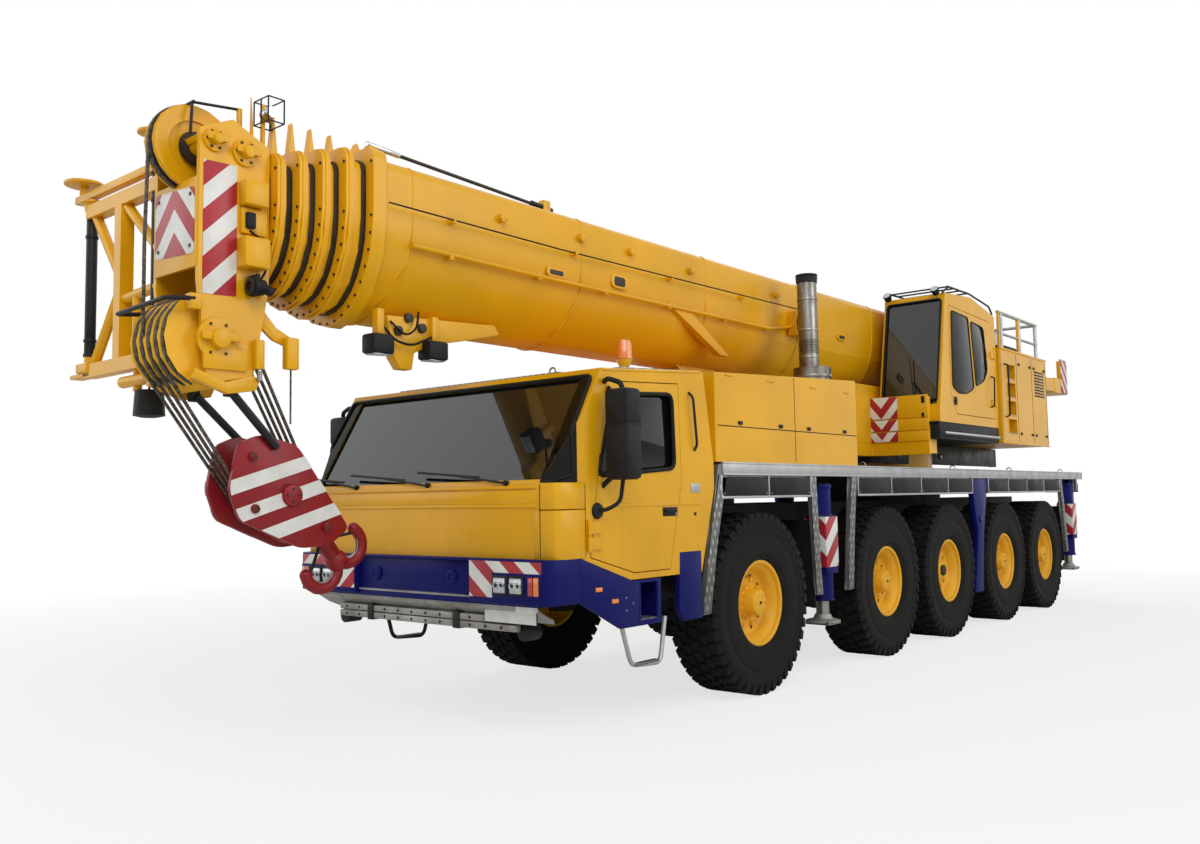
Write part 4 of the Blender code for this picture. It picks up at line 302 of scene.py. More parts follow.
class Piece:
    """Shapes gathered by finish, which become one object for each finish, riding on one body.

    Places are given for the left, and mirrored while side is -1."""

    def __init__(self, name, body, stands_for=()):
        self.name = name
        self.body = body
        self.stands_for = list(stands_for)
        self.meshes = {}
        self.side = 1

    def sides(self):
        """Both sides in turn: what is made meanwhile lies on that side."""
        for self.side in (-1, 1):
            yield self.side
        self.side = 1

    def mirrored(self, place):
        """A place given for the left, on the side that is being made; the zero keeps x off -0.0."""
        return (place[0] * self.side + 0.0, *place[1:])

    def take(self, finish, shape, turn=None):
        """Adds a finished shape, turned first where a turn is given."""
        if turn is not None:
            bmesh.ops.transform(shape, matrix=turn, verts=shape.verts)
        if finish not in self.meshes:
            self.meshes[finish] = bmesh.new()
        merge(self.meshes[finish], shape)

    def box(self, finish, low, high, soft=0.006, turn=None):
        """A box between two corners with rounded edges."""
        pairs = [sorted(pair) for pair in zip(self.mirrored(low), self.mirrored(high))]
        shape = bmesh.new()
        bmesh.ops.create_cube(shape, size=1)
        bmesh.ops.scale(shape, vec=[b - a for a, b in pairs], verts=shape.verts)
        bmesh.ops.translate(shape, vec=[(a + b) / 2 for a, b in pairs], verts=shape.verts)
        soften(shape, min([soft, *[(b - a) * 0.45 for a, b in pairs]]))
        self.take(finish, shape, turn)

    def rod(self, finish, start, end, radius, end_radius=None, sides=20, soft=0.0, turn=None):
        """A round bar or cone between two points."""
        start, end = Vector(self.mirrored(start)), Vector(self.mirrored(end))
        run = end - start
        shape = bmesh.new()
        if end_radius is None:
            end_radius = radius
        bmesh.ops.create_cone(
            shape, cap_ends=True, segments=sides, radius1=radius, radius2=end_radius, depth=run.length
        )
        if soft:
            soften(shape, soft)
        bmesh.ops.transform(shape, matrix=facing((start + end) / 2, run), verts=shape.verts)
        self.take(finish, shape, turn)

    def turned(self, finish, profile, centre, way=(1, 0, 0), steps=48, turn=None):
        """A turned form from (along, radius) points, spun about the way through the centre."""
        shape = bmesh.new()
        verts = [shape.verts.new((radius, 0, along)) for along, radius in profile]
        for first, second in zip(verts, verts[1:]):
            shape.edges.new((first, second))
        if profile[0] != profile[-1] and profile[0][1] > 0 and profile[-1][1] > 0:
            shape.edges.new((verts[-1], verts[0]))
        geom = shape.verts[:] + shape.edges[:]
        bmesh.ops.spin(
            shape, geom=geom, cent=(0, 0, 0), axis=(0, 0, 1), angle=math.tau, steps=steps, use_merge=True
        )
        bmesh.ops.remove_doubles(shape, verts=shape.verts, dist=1e-5)
        place = facing(self.mirrored(centre), self.mirrored(way))
        bmesh.ops.transform(shape, matrix=place, verts=shape.verts)
        self.take(finish, shape, turn)

    def plate(self, finish, outline, axis, low, high, soft=0.004, holes=(), turn=None):
        """A flat outline with thickness: (y, z) points on X, (x, z) on Y and (x, y) on Z."""
        if axis == "X":
            low, high = low * self.side, high * self.side
        else:
            outline, *holes = [[self.mirrored(spot) for spot in loop] for loop in (outline, *holes)]
        shape = bmesh.new()
        edges = []
        for loop in (outline, *holes):
            verts = [shape.verts.new((a, b, 0)) for a, b in loop]
            edges += [shape.edges.new((v, verts[(i + 1) % len(verts)])) for i, v in enumerate(verts)]
        if holes:
            bmesh.ops.triangle_fill(shape, edges=edges, use_beauty=True, normal=(0, 0, 1))
        else:
            bmesh.ops.contextual_create(shape, geom=edges)
        thicken(shape, (0, 0, abs(high - low)))
        bmesh.ops.recalc_face_normals(shape, faces=shape.faces)
        soften(shape, min(soft, abs(high - low) * 0.45))
        onto = {
            "X": Matrix(((0, 0, 1, 0), (1, 0, 0, 0), (0, 1, 0, 0), (0, 0, 0, 1))),
            "Y": Matrix(((1, 0, 0, 0), (0, 0, 1, 0), (0, 1, 0, 0), (0, 0, 0, 1))),
            "Z": Matrix.Identity(4),
        }[axis]
        base = Vector([min(low, high) if letter == axis else 0 for letter in "XYZ"])
        bmesh.ops.transform(shape, matrix=Matrix.Translation(base) @ onto, verts=shape.verts)
        self.take(finish, shape, turn)

    def pipe(self, finish, points, radius, bend=0.0, sides=2, closed=False, turn=None):
        """A round tube along straight runs, with its corners bent to a radius."""
        route = [Vector(self.mirrored(point)) for point in points]
        if bend:
            route = bent(route, bend)
        curve = bpy.data.curves.new("route", "CURVE")
        curve.dimensions = "3D"
        curve.bevel_depth = radius
        curve.bevel_resolution = sides
        curve.use_fill_caps = not closed
        spline = curve.splines.new("POLY")
        spline.points.add(len(route) - 1)
        for point, place in zip(spline.points, route):
            point.co = (*place, 1)
        spline.use_cyclic_u = closed
        guide = bpy.data.objects.new("route", curve)
        COLLECTION.objects.link(guide)
        graph = bpy.context.evaluated_depsgraph_get()
        kept = bpy.data.meshes.new_from_object(guide.evaluated_get(graph))
        shape = bmesh.new()
        shape.from_mesh(kept)
        bmesh.ops.remove_doubles(shape, verts=shape.verts, dist=1e-5)
        bpy.data.objects.remove(guide)
        bpy.data.curves.remove(curve)
        bpy.data.meshes.remove(kept)
        self.take(finish, shape, turn)

    def ball(self, finish, centre, radius):
        """A round end."""
        shape = bmesh.new()
        bmesh.ops.create_uvsphere(shape, u_segments=20, v_segments=12, radius=radius)
        bmesh.ops.translate(shape, vec=self.mirrored(centre), verts=shape.verts)
        self.take(finish, shape)

    def bolts(self, finish, centre, way, circle, count, radius, height, sides=6):
        """Bolt heads on a circle about a way."""
        centre, way = Vector(self.mirrored(centre)), Vector(self.mirrored(way))
        turn = way.to_track_quat("Z", "Y").to_matrix()
        for x, y in ring((0, 0), circle, count):
            spot = centre + turn @ Vector((x, y, 0))
            end = spot + way.normalized() * height
            self.rod(finish, self.mirrored(spot), self.mirrored(end), radius, sides=sides)

    def done(self, keep_sharp=35.0):
        """Makes the objects, and returns them by finish."""
        made = {}
        for finish, shape in self.meshes.items():
            bmesh.ops.translate(shape, vec=(0, FIRST_AXLE_Y, 0), verts=shape.verts)
            bmesh.ops.recalc_face_normals(shape, faces=shape.faces)
            name = self.name if len(self.meshes) == 1 else f"{self.name}_{finish}"
            mesh = bpy.data.meshes.new(name)
            shape.to_mesh(mesh)
            shape.free()
            mesh.materials.append(finish_of(finish))
            mesh.shade_smooth()
            mesh.set_sharp_from_angle(angle=math.radians(keep_sharp))
            thing = bpy.data.objects.new(name, mesh)
            COLLECTION.objects.link(thing)
            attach(thing, self.body)
            made[finish] = thing
        if self.stands_for:
            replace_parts(next(iter(made.values())), *self.stands_for)
        return made


def soften(shape, width, corner=30.0):
    """Rounds every edge of a shape that turns by more than the corner's angle."""
    if width <= 0:
        return
    limit = math.radians(corner)
    sharp = [edge for edge in shape.edges if len(edge.link_faces) == 2 and edge.calc_face_angle(0) > limit]
    if sharp:
        bmesh.ops.bevel(
            shape,
            geom=sharp,
            offset=width,
            segments=2,
            profile=0.5,
            affect="EDGES",
            material=-1,
            clamp_overlap=True,
        )


BEND_STEPS = 5


def corner_points(before, corner, after, radius, steps):
    """The points of a curve of about the given radius that takes a corner's place."""
    into, out = corner - before, after - corner
    cut = min(radius, into.length * 0.45, out.length * 0.45)
    first = corner - into.normalized() * cut
    last = corner + out.normalized() * cut
    shares = [i / steps for i in range(steps + 1)]
    return [first * (1 - t) ** 2 + corner * 2 * t * (1 - t) + last * t**2 for t in shares]


def bent(points, radius):
    """The points of a bent tube's line, its corners curved."""
    points = [Vector(p) for p in points]
    route = [points[0]]
    for three in zip(points, points[1:], points[2:]):
        route += corner_points(*three, radius, BEND_STEPS)
    return [*route, points[-1]]


def bent_ring(corners, radius):
    """A closed line through the corners, which starts where the second corner's curve ends."""
    return bent([*corners, *corners[:2]], radius)[BEND_STEPS + 1 : -1]


def rounded(outline, radius, steps=4):
    """The closed outline with its corners rounded."""
    points = [Vector(p) for p in outline]
    made = []
    for three in zip(points[-1:] + points, points, points[1:] + points[:1]):
        made += [tuple(spot) for spot in corner_points(*three, radius, steps)]
    return made


def arc(centre, radius, start, end, steps):
    """Points on an arc, both ends included, with angles in degrees."""
    angles = [math.radians(start + (end - start) * i / steps) for i in range(steps + 1)]
    return [(centre[0] + radius * math.cos(a), centre[1] + radius * math.sin(a)) for a in angles]


def oblong(first, opposite):
    """The four corners of an oblong, from two that lie opposite."""
    return [first, (opposite[0], first[1]), opposite, (first[0], opposite[1])]


def ring(centre, radius, count):
    """Points evenly round a circle."""
    angles = [math.tau * i / count for i in range(count)]
    return [(centre[0] + radius * math.cos(a), centre[1] + radius * math.sin(a)) for a in angles]


CAD_FINISHES = {
    "carrier_deck": "deck_plate",
    "upper_seat": "trim",
    "carrier_interior": "trim",
    "exhaust_stack": "stainless",
    "luffing_rod": "chrome",
    "front_bumper": "blue",
    "head_sheaves_low": "wheel_yellow",
}
SLOT_FINISHES = {
    "yellow_paint": "yellow",
    "blue_paint": "blue",
    "frame_paint": "frame",
    "aluminium": "deck_plate",
    "tyre": "rubber",
    "glass": "tinted",
    "steel": "steel",
    "red_paint": "red",
    "cab_trim": "trim",
}


class CRANE_OT_wheels(bpy.types.Operator):
    """Block-tread tyres on bolted steel rims, one for each wheel body"""

    bl_idname = "crane.wheels"
    bl_label = "Wheels"

    def execute(self, context):
        sizes = context.scene.crane_sizes
        for number, place in enumerate(AXLE_YS, start=1):
            for word, side in SIDES:
                self.wheel(sizes, number, word, side, place)
        return {"FINISHED"}

    def wheel(self, sizes, number, word, side, place):
        """One tyre with its tread, rim, hub and nuts."""
        body = f"wheel_{number}_{word}"
        centre = (side * (HALF_WIDTH - TYRE_WIDTH / 2), place, TYRE_RADIUS)
        way = (side, 0, 0)
        half = TYRE_WIDTH / 2
        made = Piece(f"tyre_{number}_{word}", body, [body])
        side_wall = [
            (half - 0.052, 0.345), (half - 0.02, 0.362), (half - 0.012, 0.392), (half - 0.006, 0.396),
            (half - 0.001, 0.44), (half, 0.52), (half - 0.001, 0.56), (half - 0.004, 0.566),
            (half - 0.001, 0.572), (half - 0.004, 0.63), (half - 0.001, 0.64), (half - 0.01, 0.69),
            (half - 0.04, 0.722),
        ]
        crown = TYRE_RADIUS - sizes.groove
        profile = [(-a, r) for a, r in side_wall] + [(-half * 0.4, crown), (half * 0.4, crown)] + side_wall[
            ::-1
        ]
        made.turned("rubber", profile, centre, way, 72)
        made.take("rubber", self.tread(sizes), seat(centre, way))
        hub = 0.187 if number != 3 else 0.105
        rim = [
            (hub, 0), (hub, 0.085), (hub - 0.006, 0.098), (hub - 0.02, 0.106), (0.085, 0.112), (0.078, 0.132),
            (0.056, 0.138), (0.046, 0.15), (0.046, 0.235), (0.064, 0.262), (0.118, 0.282), (0.14, 0.296),
            (0.158, 0.318), (0.182, 0.322), (0.19, 0.334), (0.188, 0.35), (0.176, 0.358), (0.16, 0.352),
            (-0.16, 0.352), (-0.176, 0.358), (-0.188, 0.346), (-0.182, 0.326), (-0.158, 0.322), (-0.1, 0.3),
            (0.03, 0.282), (0.034, 0.23), (0.034, 0.13), (-0.0445, 0.13), (-0.0445, 0.067), (0.08, 0.067),
            (0.08, 0),
        ]
        made.turned("wheel_yellow", rim, centre, way, 60)
        face = Vector(centre) + Vector(way) * 0.046
        made.bolts("wheel_yellow", face, way, 0.19, 10, 0.017, 0.022)
        made.bolts("wheel_yellow", Vector(centre) + Vector(way) * 0.078, way, 0.122, 12, 0.008, 0.012)
        made.bolts("black", face, way, 0.226, 10, 0.016, 0.0015, 12)
        cap = Vector(centre) + Vector(way) * hub
        made.bolts("wheel_yellow", cap, way, 0.066, 6, 0.009, 0.008)
        made.rod("dark_steel", cap, cap + Vector(way) * 0.006, 0.014, sides=6)
        made.rod(
            "steel", face + Vector((0, 0, 0.2)), face + Vector((side * 0.05, 0.01, 0.235)), 0.005, sides=8
        )
        made.done()

    def tread(self, sizes):
        """One pitch of tread blocks, repeated round the tyre about the x axis."""
        pitches = sizes.pitches
        shape = bmesh.new()
        length = math.tau * TYRE_RADIUS / pitches
        half = TYRE_WIDTH / 2
        top = TYRE_RADIUS - 0.002
        rows = (
            # middle, width, start in the pitch, lean in degrees
            (-half + 0.052, 0.082, 0.0, 7.0),
            (-0.092, 0.07, 0.45, 16.0),
            (0.0, 0.076, 0.1, -14.0),
            (0.092, 0.07, 0.55, -16.0),
            (half - 0.052, 0.082, 0.3, -7.0),
        )
        for middle, width, start, lean in rows:
            block = bmesh.new()
            bmesh.ops.create_cube(block, size=1)
            bmesh.ops.scale(block, vec=(width, length * 0.7, 0.034), verts=block.verts)
            shoulder = abs(middle) > half * 0.6
            for vert in block.verts:
                if vert.co.z > 0:
                    vert.co.x *= 0.93
                    vert.co.y *= 0.93
                if shoulder and vert.co.x * middle > 0 and vert.co.z < 0:
                    vert.co.x += math.copysign(0.012, middle)
                    vert.co.z -= 0.045
            bmesh.ops.rotate(block, matrix=Matrix.Rotation(math.radians(lean), 3, "Z"), verts=block.verts)
            bmesh.ops.translate(block, vec=(middle, 0, top - 0.017), verts=block.verts)
            turn = Matrix.Rotation(math.tau * start / pitches, 3, "X")
            bmesh.ops.rotate(block, matrix=turn, verts=block.verts, cent=(0, 0, 0))
            merge(shape, block)
        bmesh.ops.spin(
            shape,
            geom=shape.verts[:] + shape.edges[:] + shape.faces[:],
            cent=(0, 0, 0),
            axis=(1, 0, 0),
            angle=math.tau * (pitches - 1) / pitches,
            steps=pitches - 1,
            use_duplicate=True,
        )
        return shape


def seat(centre, way):
    """The place of a form made about the x axis, set on its centre."""
    turn = Matrix.Rotation(math.pi, 4, "Z") if way[0] < 0 else Matrix.Identity(4)
    return Matrix.Translation(centre) @ turn


HEAD_BODY = "boom_head"
HOOK_AXLE = (-3.7, 1.7)
LOW_AXLE = (-4.25, 2.6)
TOP_AXLE = (-4.28, 3.79)
HEAD_X = 0.27
HEAD_FRONT = -4.37


class CRANE_OT_hook_block(bpy.types.Operator):
    """The hook block with its sheaves, stripes, double hook and rope falls"""

    bl_idname = "crane.hook_block"
    bl_label = "Hook block"

    def execute(self, context):
        made = Piece("hook_block_dress", "hook_block", ["hook_block"])
        outline = [
            (-4.03, 2.0), (-3.88, 2.06), (-3.62, 2.0), (-3.22, 1.46), (-3.36, 1.36), (-3.58, 1.34),
            (-4.02, 1.53), (-4.09, 1.72),
        ]
        cheek = rounded(outline, 0.05)
        for side in (-1, 1):
            inner, outer = side * 0.115, side * 0.15
            made.plate("red", cheek, "X", inner, outer, 0.006)
            for start in (1.44, 1.625, 1.81):
                stripe = self.band(cheek, start, 0.088)
                made.take("white", stripe, Matrix.Translation((side * 0.152, 0, 0)))
            for y, z, radius in (
                (-3.66, 1.68, 0.075), (-3.94, 1.92, 0.03), (-3.4, 1.47, 0.035), (-3.92, 1.6, 0.03)
            ):
                face = outer + side * 0.022
                made.rod("red", (outer, y, z), (face, y, z), radius, radius * 0.9, soft=0.004)
                made.bolts("dark_steel", (face, y, z), (side, 0, 0), radius * 0.55, 4, 0.008, 0.006)
        for i in range(4):
            x = (i - 1.5) * 0.055
            made.turned("dark_steel", self.groove(0.022, 0.235), (x, *HOOK_AXLE), (1, 0, 0), 40)
        spacer = rounded([(-3.8, 1.48), (-3.4, 1.62), (-3.26, 1.47), (-3.4, 1.38), (-3.58, 1.37)], 0.03)
        made.plate("red", spacer, "X", -0.112, 0.112)
        made.rod("steel", (-0.15, *HOOK_AXLE), (0.15, *HOOK_AXLE), 0.055)
        self.hook(made)
        self.falls(made)
        made.done()
        return {"FINISHED"}

    def groove(self, half, radius):
        """A rope sheave's profile."""
        return [(-half, 0.05), (-half, radius), (0, radius - 0.03), (half, radius), (half, 0.05)]

    def band(self, outline, low, width):
        """The slanting band of the cheek between two lines that rise towards the rear."""
        shape = bmesh.new()
        verts = [shape.verts.new((0, y, z)) for y, z in outline]
        shape.faces.new(verts)
        slope = Vector((0, -math.sin(math.radians(17)), math.cos(math.radians(17))))
        foot = Vector((0, -3.66, low))
        for spot, clear in ((foot, {"clear_inner": True}), (foot + slope * width, {"clear_outer": True})):
            geom = shape.verts[:] + shape.edges[:] + shape.faces[:]
            bmesh.ops.bisect_plane(shape, geom=geom, plane_co=spot, plane_no=slope, **clear)
        film = 0.003
        thicken(shape, (film, 0, 0))
        bmesh.ops.translate(shape, vec=(-film / 2, 0, 0), verts=shape.verts)
        return shape

    def hook(self, made):
        """The double hook: a shank, a nut and two horns with worn throats."""
        shank = Vector((0, -3.42, 1.5))
        way = Vector((0, math.sin(math.radians(38)), -math.cos(math.radians(38))))
        across = Vector((0, way.z, -way.y)) * -1
        end = shank + way * 0.3
        made.rod("red", shank - way * 0.04, end, 0.062, 0.055, soft=0.006)
        made.rod("dark_steel", shank + way * 0.02, shank + way * 0.07, 0.085, sides=8, soft=0.004)
        for side in (-1, 1):
            centre = end + across * side * 0.125
            points = [centre - across * side * x + way * y for x, y in arc((0, 0), 0.125, -20, 205, 12)]
            made.pipe("red", points, 0.04, sides=4)
            made.ball("red", points[-1], 0.04)
            inner = [centre + (p - centre) * 0.74 for p in points[2:-2]]
            made.pipe("steel", inner, 0.014)
            made.pipe("black", [points[-2], end - way * 0.13 + across * side * 0.05], 0.011)
        made.ball("red", end + way * 0.03, 0.075)

    def falls(self, made):
        """The eight rope falls between the low head sheaves and the block's sheaves."""
        high, low = Vector((0, *LOW_AXLE)), Vector((0, *HOOK_AXLE))
        run = low - high
        square = Vector((0, run.z, -run.y)).normalized()
        for i in range(4):
            x = (i - 1.5) * 0.08
            for side in (-1, 1):
                lean = math.asin((0.3 - 0.232) / run.length) * side
                start = high + square * side * 0.301
                start -= run.normalized() * 0.301 * math.sin(abs(lean)) * 0.5
                end = low + square * side * 0.225
                made.rod("rope", (x, start.y, start.z), (x * 0.7, end.y, end.z), 0.011, sides=8)
        for side in (-1, 1):
            made.box("black", (side * 0.2, -4.17, 2.27), (side * 0.215, -4.09, 2.36))
            made.rod("black", (side * 0.2, -4.12, 2.31), (side * 0.165, -3.78, 1.98), 0.026, sides=10)


BUMPER_TOP = 1.24
BUMPER_FRONT = -2.6
BUMPER_BACK = -2.53
TOWING_EYE = (0.42, 1.1)


class CRANE_OT_bumper(bpy.types.Operator):
    """The blue front bumper with lamps, stripes, plate, bar and steps"""

    bl_idname = "crane.bumper"
    bl_label = "Front bumper"

    def execute(self, context):
        made = Piece("bumper_dress", "carrier", ["front_bumper"])
        front = BUMPER_FRONT
        made.box("blue", (-0.63, -2.555, 0.99), (0.63, BUMPER_BACK, BUMPER_TOP))
        made.box("blue", (-1.22, front + 0.004, 1.222), (1.22, BUMPER_BACK, BUMPER_TOP))
        made.box("blue", (-1.22, -2.56, 0.93), (1.22, -2.528, 0.995))
        for side in made.sides():
            made.box("blue", (0.63, front, 0.945), (1.32, BUMPER_BACK, 1.238), 0.012)
            made.plate("lamp_stripes", oblong((0.64, 0.985), (1.31, 1.225)), "Y", front - 0.004, front, 0.001)
            made.box("blue", (0.865, front - 0.01, 0.985), (1.312, front, 1.15), 0.004)
            for x in (0.95, 1.1):
                made.box("black", (x - 0.068, front - 0.024, 1.005), (x + 0.068, front, 1.135), 0.008)
                made.box("lamp", (x - 0.056, front - 0.032, 1.018), (x + 0.056, front, 1.122), 0.012)
                for shift in (-0.026, 0.026):
                    spot = (x + shift, front - 0.03, 1.07)
                    rim = [(0, 0.022), (0.002, 0.026), (0.006, 0.026), (0.006, 0.02)]
                    made.turned("chrome", rim, spot, (0, -1, 0), 20)
                    made.rod("black", spot, (spot[0], front - 0.034, 1.07), 0.012, sides=12)
            made.box("red_lens", (1.205, front - 0.022, 1.01), (1.247, front, 1.13))
            made.box("amber", (1.253, front - 0.022, 1.01), (1.292, front, 1.13))
            corner = [
                (1.31, front), (1.352, -2.575), (1.375, -2.52), (1.375, -2.29), (1.345, -2.24), (1.19, -2.53)
            ]
            made.plate("blue", corner, "Z", 0.945, 1.238, 0.008)
            wing = [
                (-2.3, 1.24), (-1.74, 1.052), (-1.68, 1.052), (-1.68, 0.735), (-1.88, 0.735), (-2.3, 0.945)
            ]
            made.plate("blue", wing, "X", 1.345, 1.378, 0.008)
            wall = oblong((-1.68, 1.052), (-1.42, 0.735))
            hole = [(-1.655, 1.03), (-1.655, 0.775), (-1.465, 0.775), (-1.465, 1.03)]
            made.plate("blue", wall, "X", 1.345, 1.375, 0.003, holes=[hole])
            made.box("black", (1.1, -1.675, 0.74), (1.115, -1.425, 1.05), 0.003)
            made.box("black", (1.1, -1.675, 1.035), (1.36, -1.425, 1.05), 0.003)
            for y in (-1.675, -1.44):
                made.box("blue", (1.1, y, 0.74), (1.36, y + 0.015, 1.045), 0.003)
            made.box("deck_plate", (1.1, -1.665, 0.752), (1.372, -1.435, 0.778), 0.004)
            made.box("blue", (0.42, -1.64, 0.86), (1.11, -1.46, 0.98))
            step = "alu" if side > 0 else "black"
            loop = [(1.3, -1.8, 0.78), (1.31, -1.7, 0.46), (1.31, -1.36, 0.44), (1.3, -1.28, 0.76)]
            made.pipe(step, loop, 0.017, 0.06, 3)
            made.box("side_plate", (1.285, -1.68, 0.452), (1.335, -1.4, 0.47), 0.004)
            rear = [(-1.18, 1.22), (-0.9, 1.22), (-0.9, 0.715), (-1.14, 0.715), (-1.2, 0.8)]
            made.plate("blue", rear, "X", 1.33, 1.378, 0.006)
            made.box("black", (0.42, -1.12, 0.88), (1.33, -1.04, 0.96))
            for y, z in ((-2.12, 1.02), (-1.95, 0.93)):
                made.box("plastic", (1.372, y - 0.04, z - 0.02), (1.379, y + 0.04, z + 0.02), 0.004)
                made.box("amber", (1.374, y - 0.034, z - 0.015), (1.388, y + 0.034, z + 0.015))
            made.bolts("steel", (1.375, -1.8, 0.9), (1, 0, 0), 0.05, 3, 0.008, 0.005)
            x, z = TOWING_EYE
            made.pipe("blue", [(a, -2.562, b) for a, b in ring((x, z), 0.036, 12)], 0.012, closed=True)
            made.rod("blue", (x, -2.556, z), (x, -2.566, z), 0.055, soft=0.003)
        pan = [
            (-2.565, 0.985), (-2.535, 0.9), (-2.45, 0.845), (-2.34, 0.8), (-2.34, 0.83), (-2.44, 0.875),
            (-2.515, 0.93), (-2.535, 0.985),
        ]
        made.plate("galvanised", pan, "X", -1.18, 1.18)
        for low, high in ((0.805, 0.85), (0.752, 0.798)):
            made.box("galvanised", (-0.95, -2.505, low), (0.98, -2.455, high))
            for i in range(12):
                x = -0.86 + i * 0.155
                middle = (low + high) / 2
                made.rod("black", (x, -2.507, middle), (x, -2.503, middle), 0.011, sides=12)
        for x in (-0.56, 0.4):
            made.box("black", (x - 0.035, -2.515, 0.742), (x + 0.035, -2.34, 0.862), 0.008)
        made.box("galvanised", (-0.9, -2.4, 0.735), (0.9, -2.34, 0.815), 0.008)
        made.box("galvanised", (-0.42, -2.46, 0.8), (0.42, -2.345, 0.98), 0.008)
        made.box("white", (0.7, -2.52, 0.812), (1.18, -2.512, 0.915), 0.004)
        made.box("black", (0.695, -2.516, 0.807), (1.185, -2.506, 0.92), 0.004)
        made.box("galvanised", (0.72, -2.512, 0.92), (1.16, -2.5, 0.945), 0.003)
        made.box("white", (1.02, -2.55, 0.89), (1.19, -2.505, 0.965), 0.01)
        made.box("lamp", (-1.06, -2.535, 0.895), (-0.92, -2.505, 0.945))
        for _ in made.sides():
            made.rod("black", (0.98, -2.44, 0.74), (0.98, -2.3, 0.74), 0.055, soft=0.006)
        made.done()
        return {"FINISHED"}


BEACON = (1.18, -1.55, 2.553)


class CRANE_OT_cab(bpy.types.Operator):
    """Seals, glass, wipers, mirrors, handles, belt lines, beacon and roof tread of the carrier cab"""

    bl_idname = "crane.cab"
    bl_label = "Carrier cab"

    def execute(self, context):
        made = Piece("cab_dress", "carrier")
        corners = [
            (1.24, -2.493, 1.742), (1.335, -2.316, 1.742), (1.335, -2.316, 2.085), (1.325, -2.092, 2.468)
        ]
        corners += [(-x, y, z) for x, y, z in reversed(corners)]
        made.pipe("seal", bent_ring(corners, 0.05), 0.014, sides=3, closed=True)
        self.screen_border(made)
        for x, reach in ((-0.72, 0.52), (0.12, 0.62), (0.92, 0.62)):
            base = Vector((x, -2.522, 1.735))
            made.rod(
                "plastic", base + Vector((0, 0.02, 0)), base + Vector((0, -0.02, 0.01)), 0.022, 0.016,
                soft=0.003,
            )
            tip = Vector((x - reach, -2.505, 1.815))
            made.rod("plastic", base + Vector((0, -0.016, 0.006)), tip, 0.009, 0.006, sides=10)
            blade = [tip + Vector((-0.32, 0.006, 0.022)), tip + Vector((0.34, -0.004, -0.03))]
            made.rod("plastic", blade[0], blade[1], 0.007, sides=8)
            made.rod(
                "seal", blade[0] + Vector((0, 0.008, 0.004)), blade[1] + Vector((0, 0.008, 0.004)), 0.005,
                sides=8,
            )
        made.box("yellow", (-1.205, -2.534, 1.575), (1.205, -2.52, 1.6))
        made.box("yellow", (-1.205, -2.531, 1.6), (1.205, -2.52, 1.69), 0.004)
        made.box("yellow", (-1.225, -2.54, 1.7), (1.225, -2.5, 1.722), 0.008)
        for _ in made.sides():
            made.box("seal", (1.235, -2.5325, 1.245), (1.24, -2.525, 1.725), 0.001)
            made.box("seal", (1.37, -2.242, 1.245), (1.3775, -2.238, 1.725), 0.001)
            gutter = [(1.372, -2.04, 2.508), (1.372, -0.86, 2.588)]
            made.pipe("yellow", gutter, 0.011, sides=3)
            made.box("yellow", (1.368, -1.16, 1.565), (1.381, -0.88, 1.59), 0.005)
            made.box("alu", (1.374, -1.02, 1.66), (1.38, -0.9, 1.73), 0.003)
            made.rod("plastic", (1.374, -0.97, 1.5), (1.384, -0.97, 1.5), 0.012, soft=0.003)
            grab = [(1.376, -1.02, 2.42), (1.41, -1.01, 2.38), (1.41, -0.97, 2.02), (1.376, -0.96, 1.98)]
            made.pipe("plastic", grab, 0.01, 0.03)
        made.box("front_plate", (-0.9, -1.95, 2.535), (0.9, -1.8, 2.546), 0.004)
        tread = Matrix.Translation((0, -1.45, 2.56)) @ Matrix.Rotation(math.atan(0.07 / 1.23), 4, "X")
        for _ in made.sides():
            made.box("deck_plate", (1.2, -0.34, 0.0), (1.33, 0.5, 0.012), 0.004, turn=tread)
        made.take("plastic", self.cone(), Matrix.Translation(BEACON))
        dome = [(0.09, 0.062), (0.2, 0.056), (0.228, 0.045), (0.236, 0.02), (0.237, 0)]
        for profile in (dome, [(0.09, 0.0), dome[0]]):
            made.turned("amber", profile, BEACON, (0, 0, 1), 40)
        eye = [(x, -1.98, z) for x, z in ring((0.86, 2.545), 0.028, 16)]
        made.pipe("steel", eye, 0.007, closed=True)
        made.done()
        for word, side in SIDES:
            self.door(word, side)
        return {"FINISHED"}

    def screen_border(self, made):
        """The black border of the windscreen, which wraps round the corner, and the fairing under it."""
        slope = (Vector((0, -2.05, 2.52)) - Vector((0, -2.524, 1.72))).normalized()
        lift = Vector((0, -slope.z, slope.y)) * 0.003
        for side in (-1, 1):
            way = Vector((side * 0.885, -0.466, 0)) * 0.003
            flat = [
                (1.222, -2.512, 1.74), (1.346, -2.29, 2.115), (1.33, -2.092, 2.448), (1.222, -2.092, 2.448)
            ]
            wrapped = [(1.224, -2.516, 1.738), (1.346, -2.284, 1.738), (1.346, -2.284, 2.122)]
            for outline, out in ((flat, lift), (wrapped, way)):
                shape = bmesh.new()
                corners = [Vector((side * x, y, z)) + out * 0.4 for x, y, z in outline]
                shape.faces.new([shape.verts.new(corner) for corner in corners])
                thicken(shape, out)
                made.take("frit", shape)
            plan = [
                (1.18, -2.515), (1.18, -2.53), (1.3, -2.53), (1.348, -2.508), (1.374, -2.45),
                (1.376, -2.236), (1.355, -2.236), (1.21, -2.51),
            ]
            plan = [(side * x, y) for x, y in plan]
            made.plate("yellow", plan, "Z", 1.235, 1.555, 0.006)
            made.plate("yellow", plan, "Z", 1.561, 1.735, 0.008)

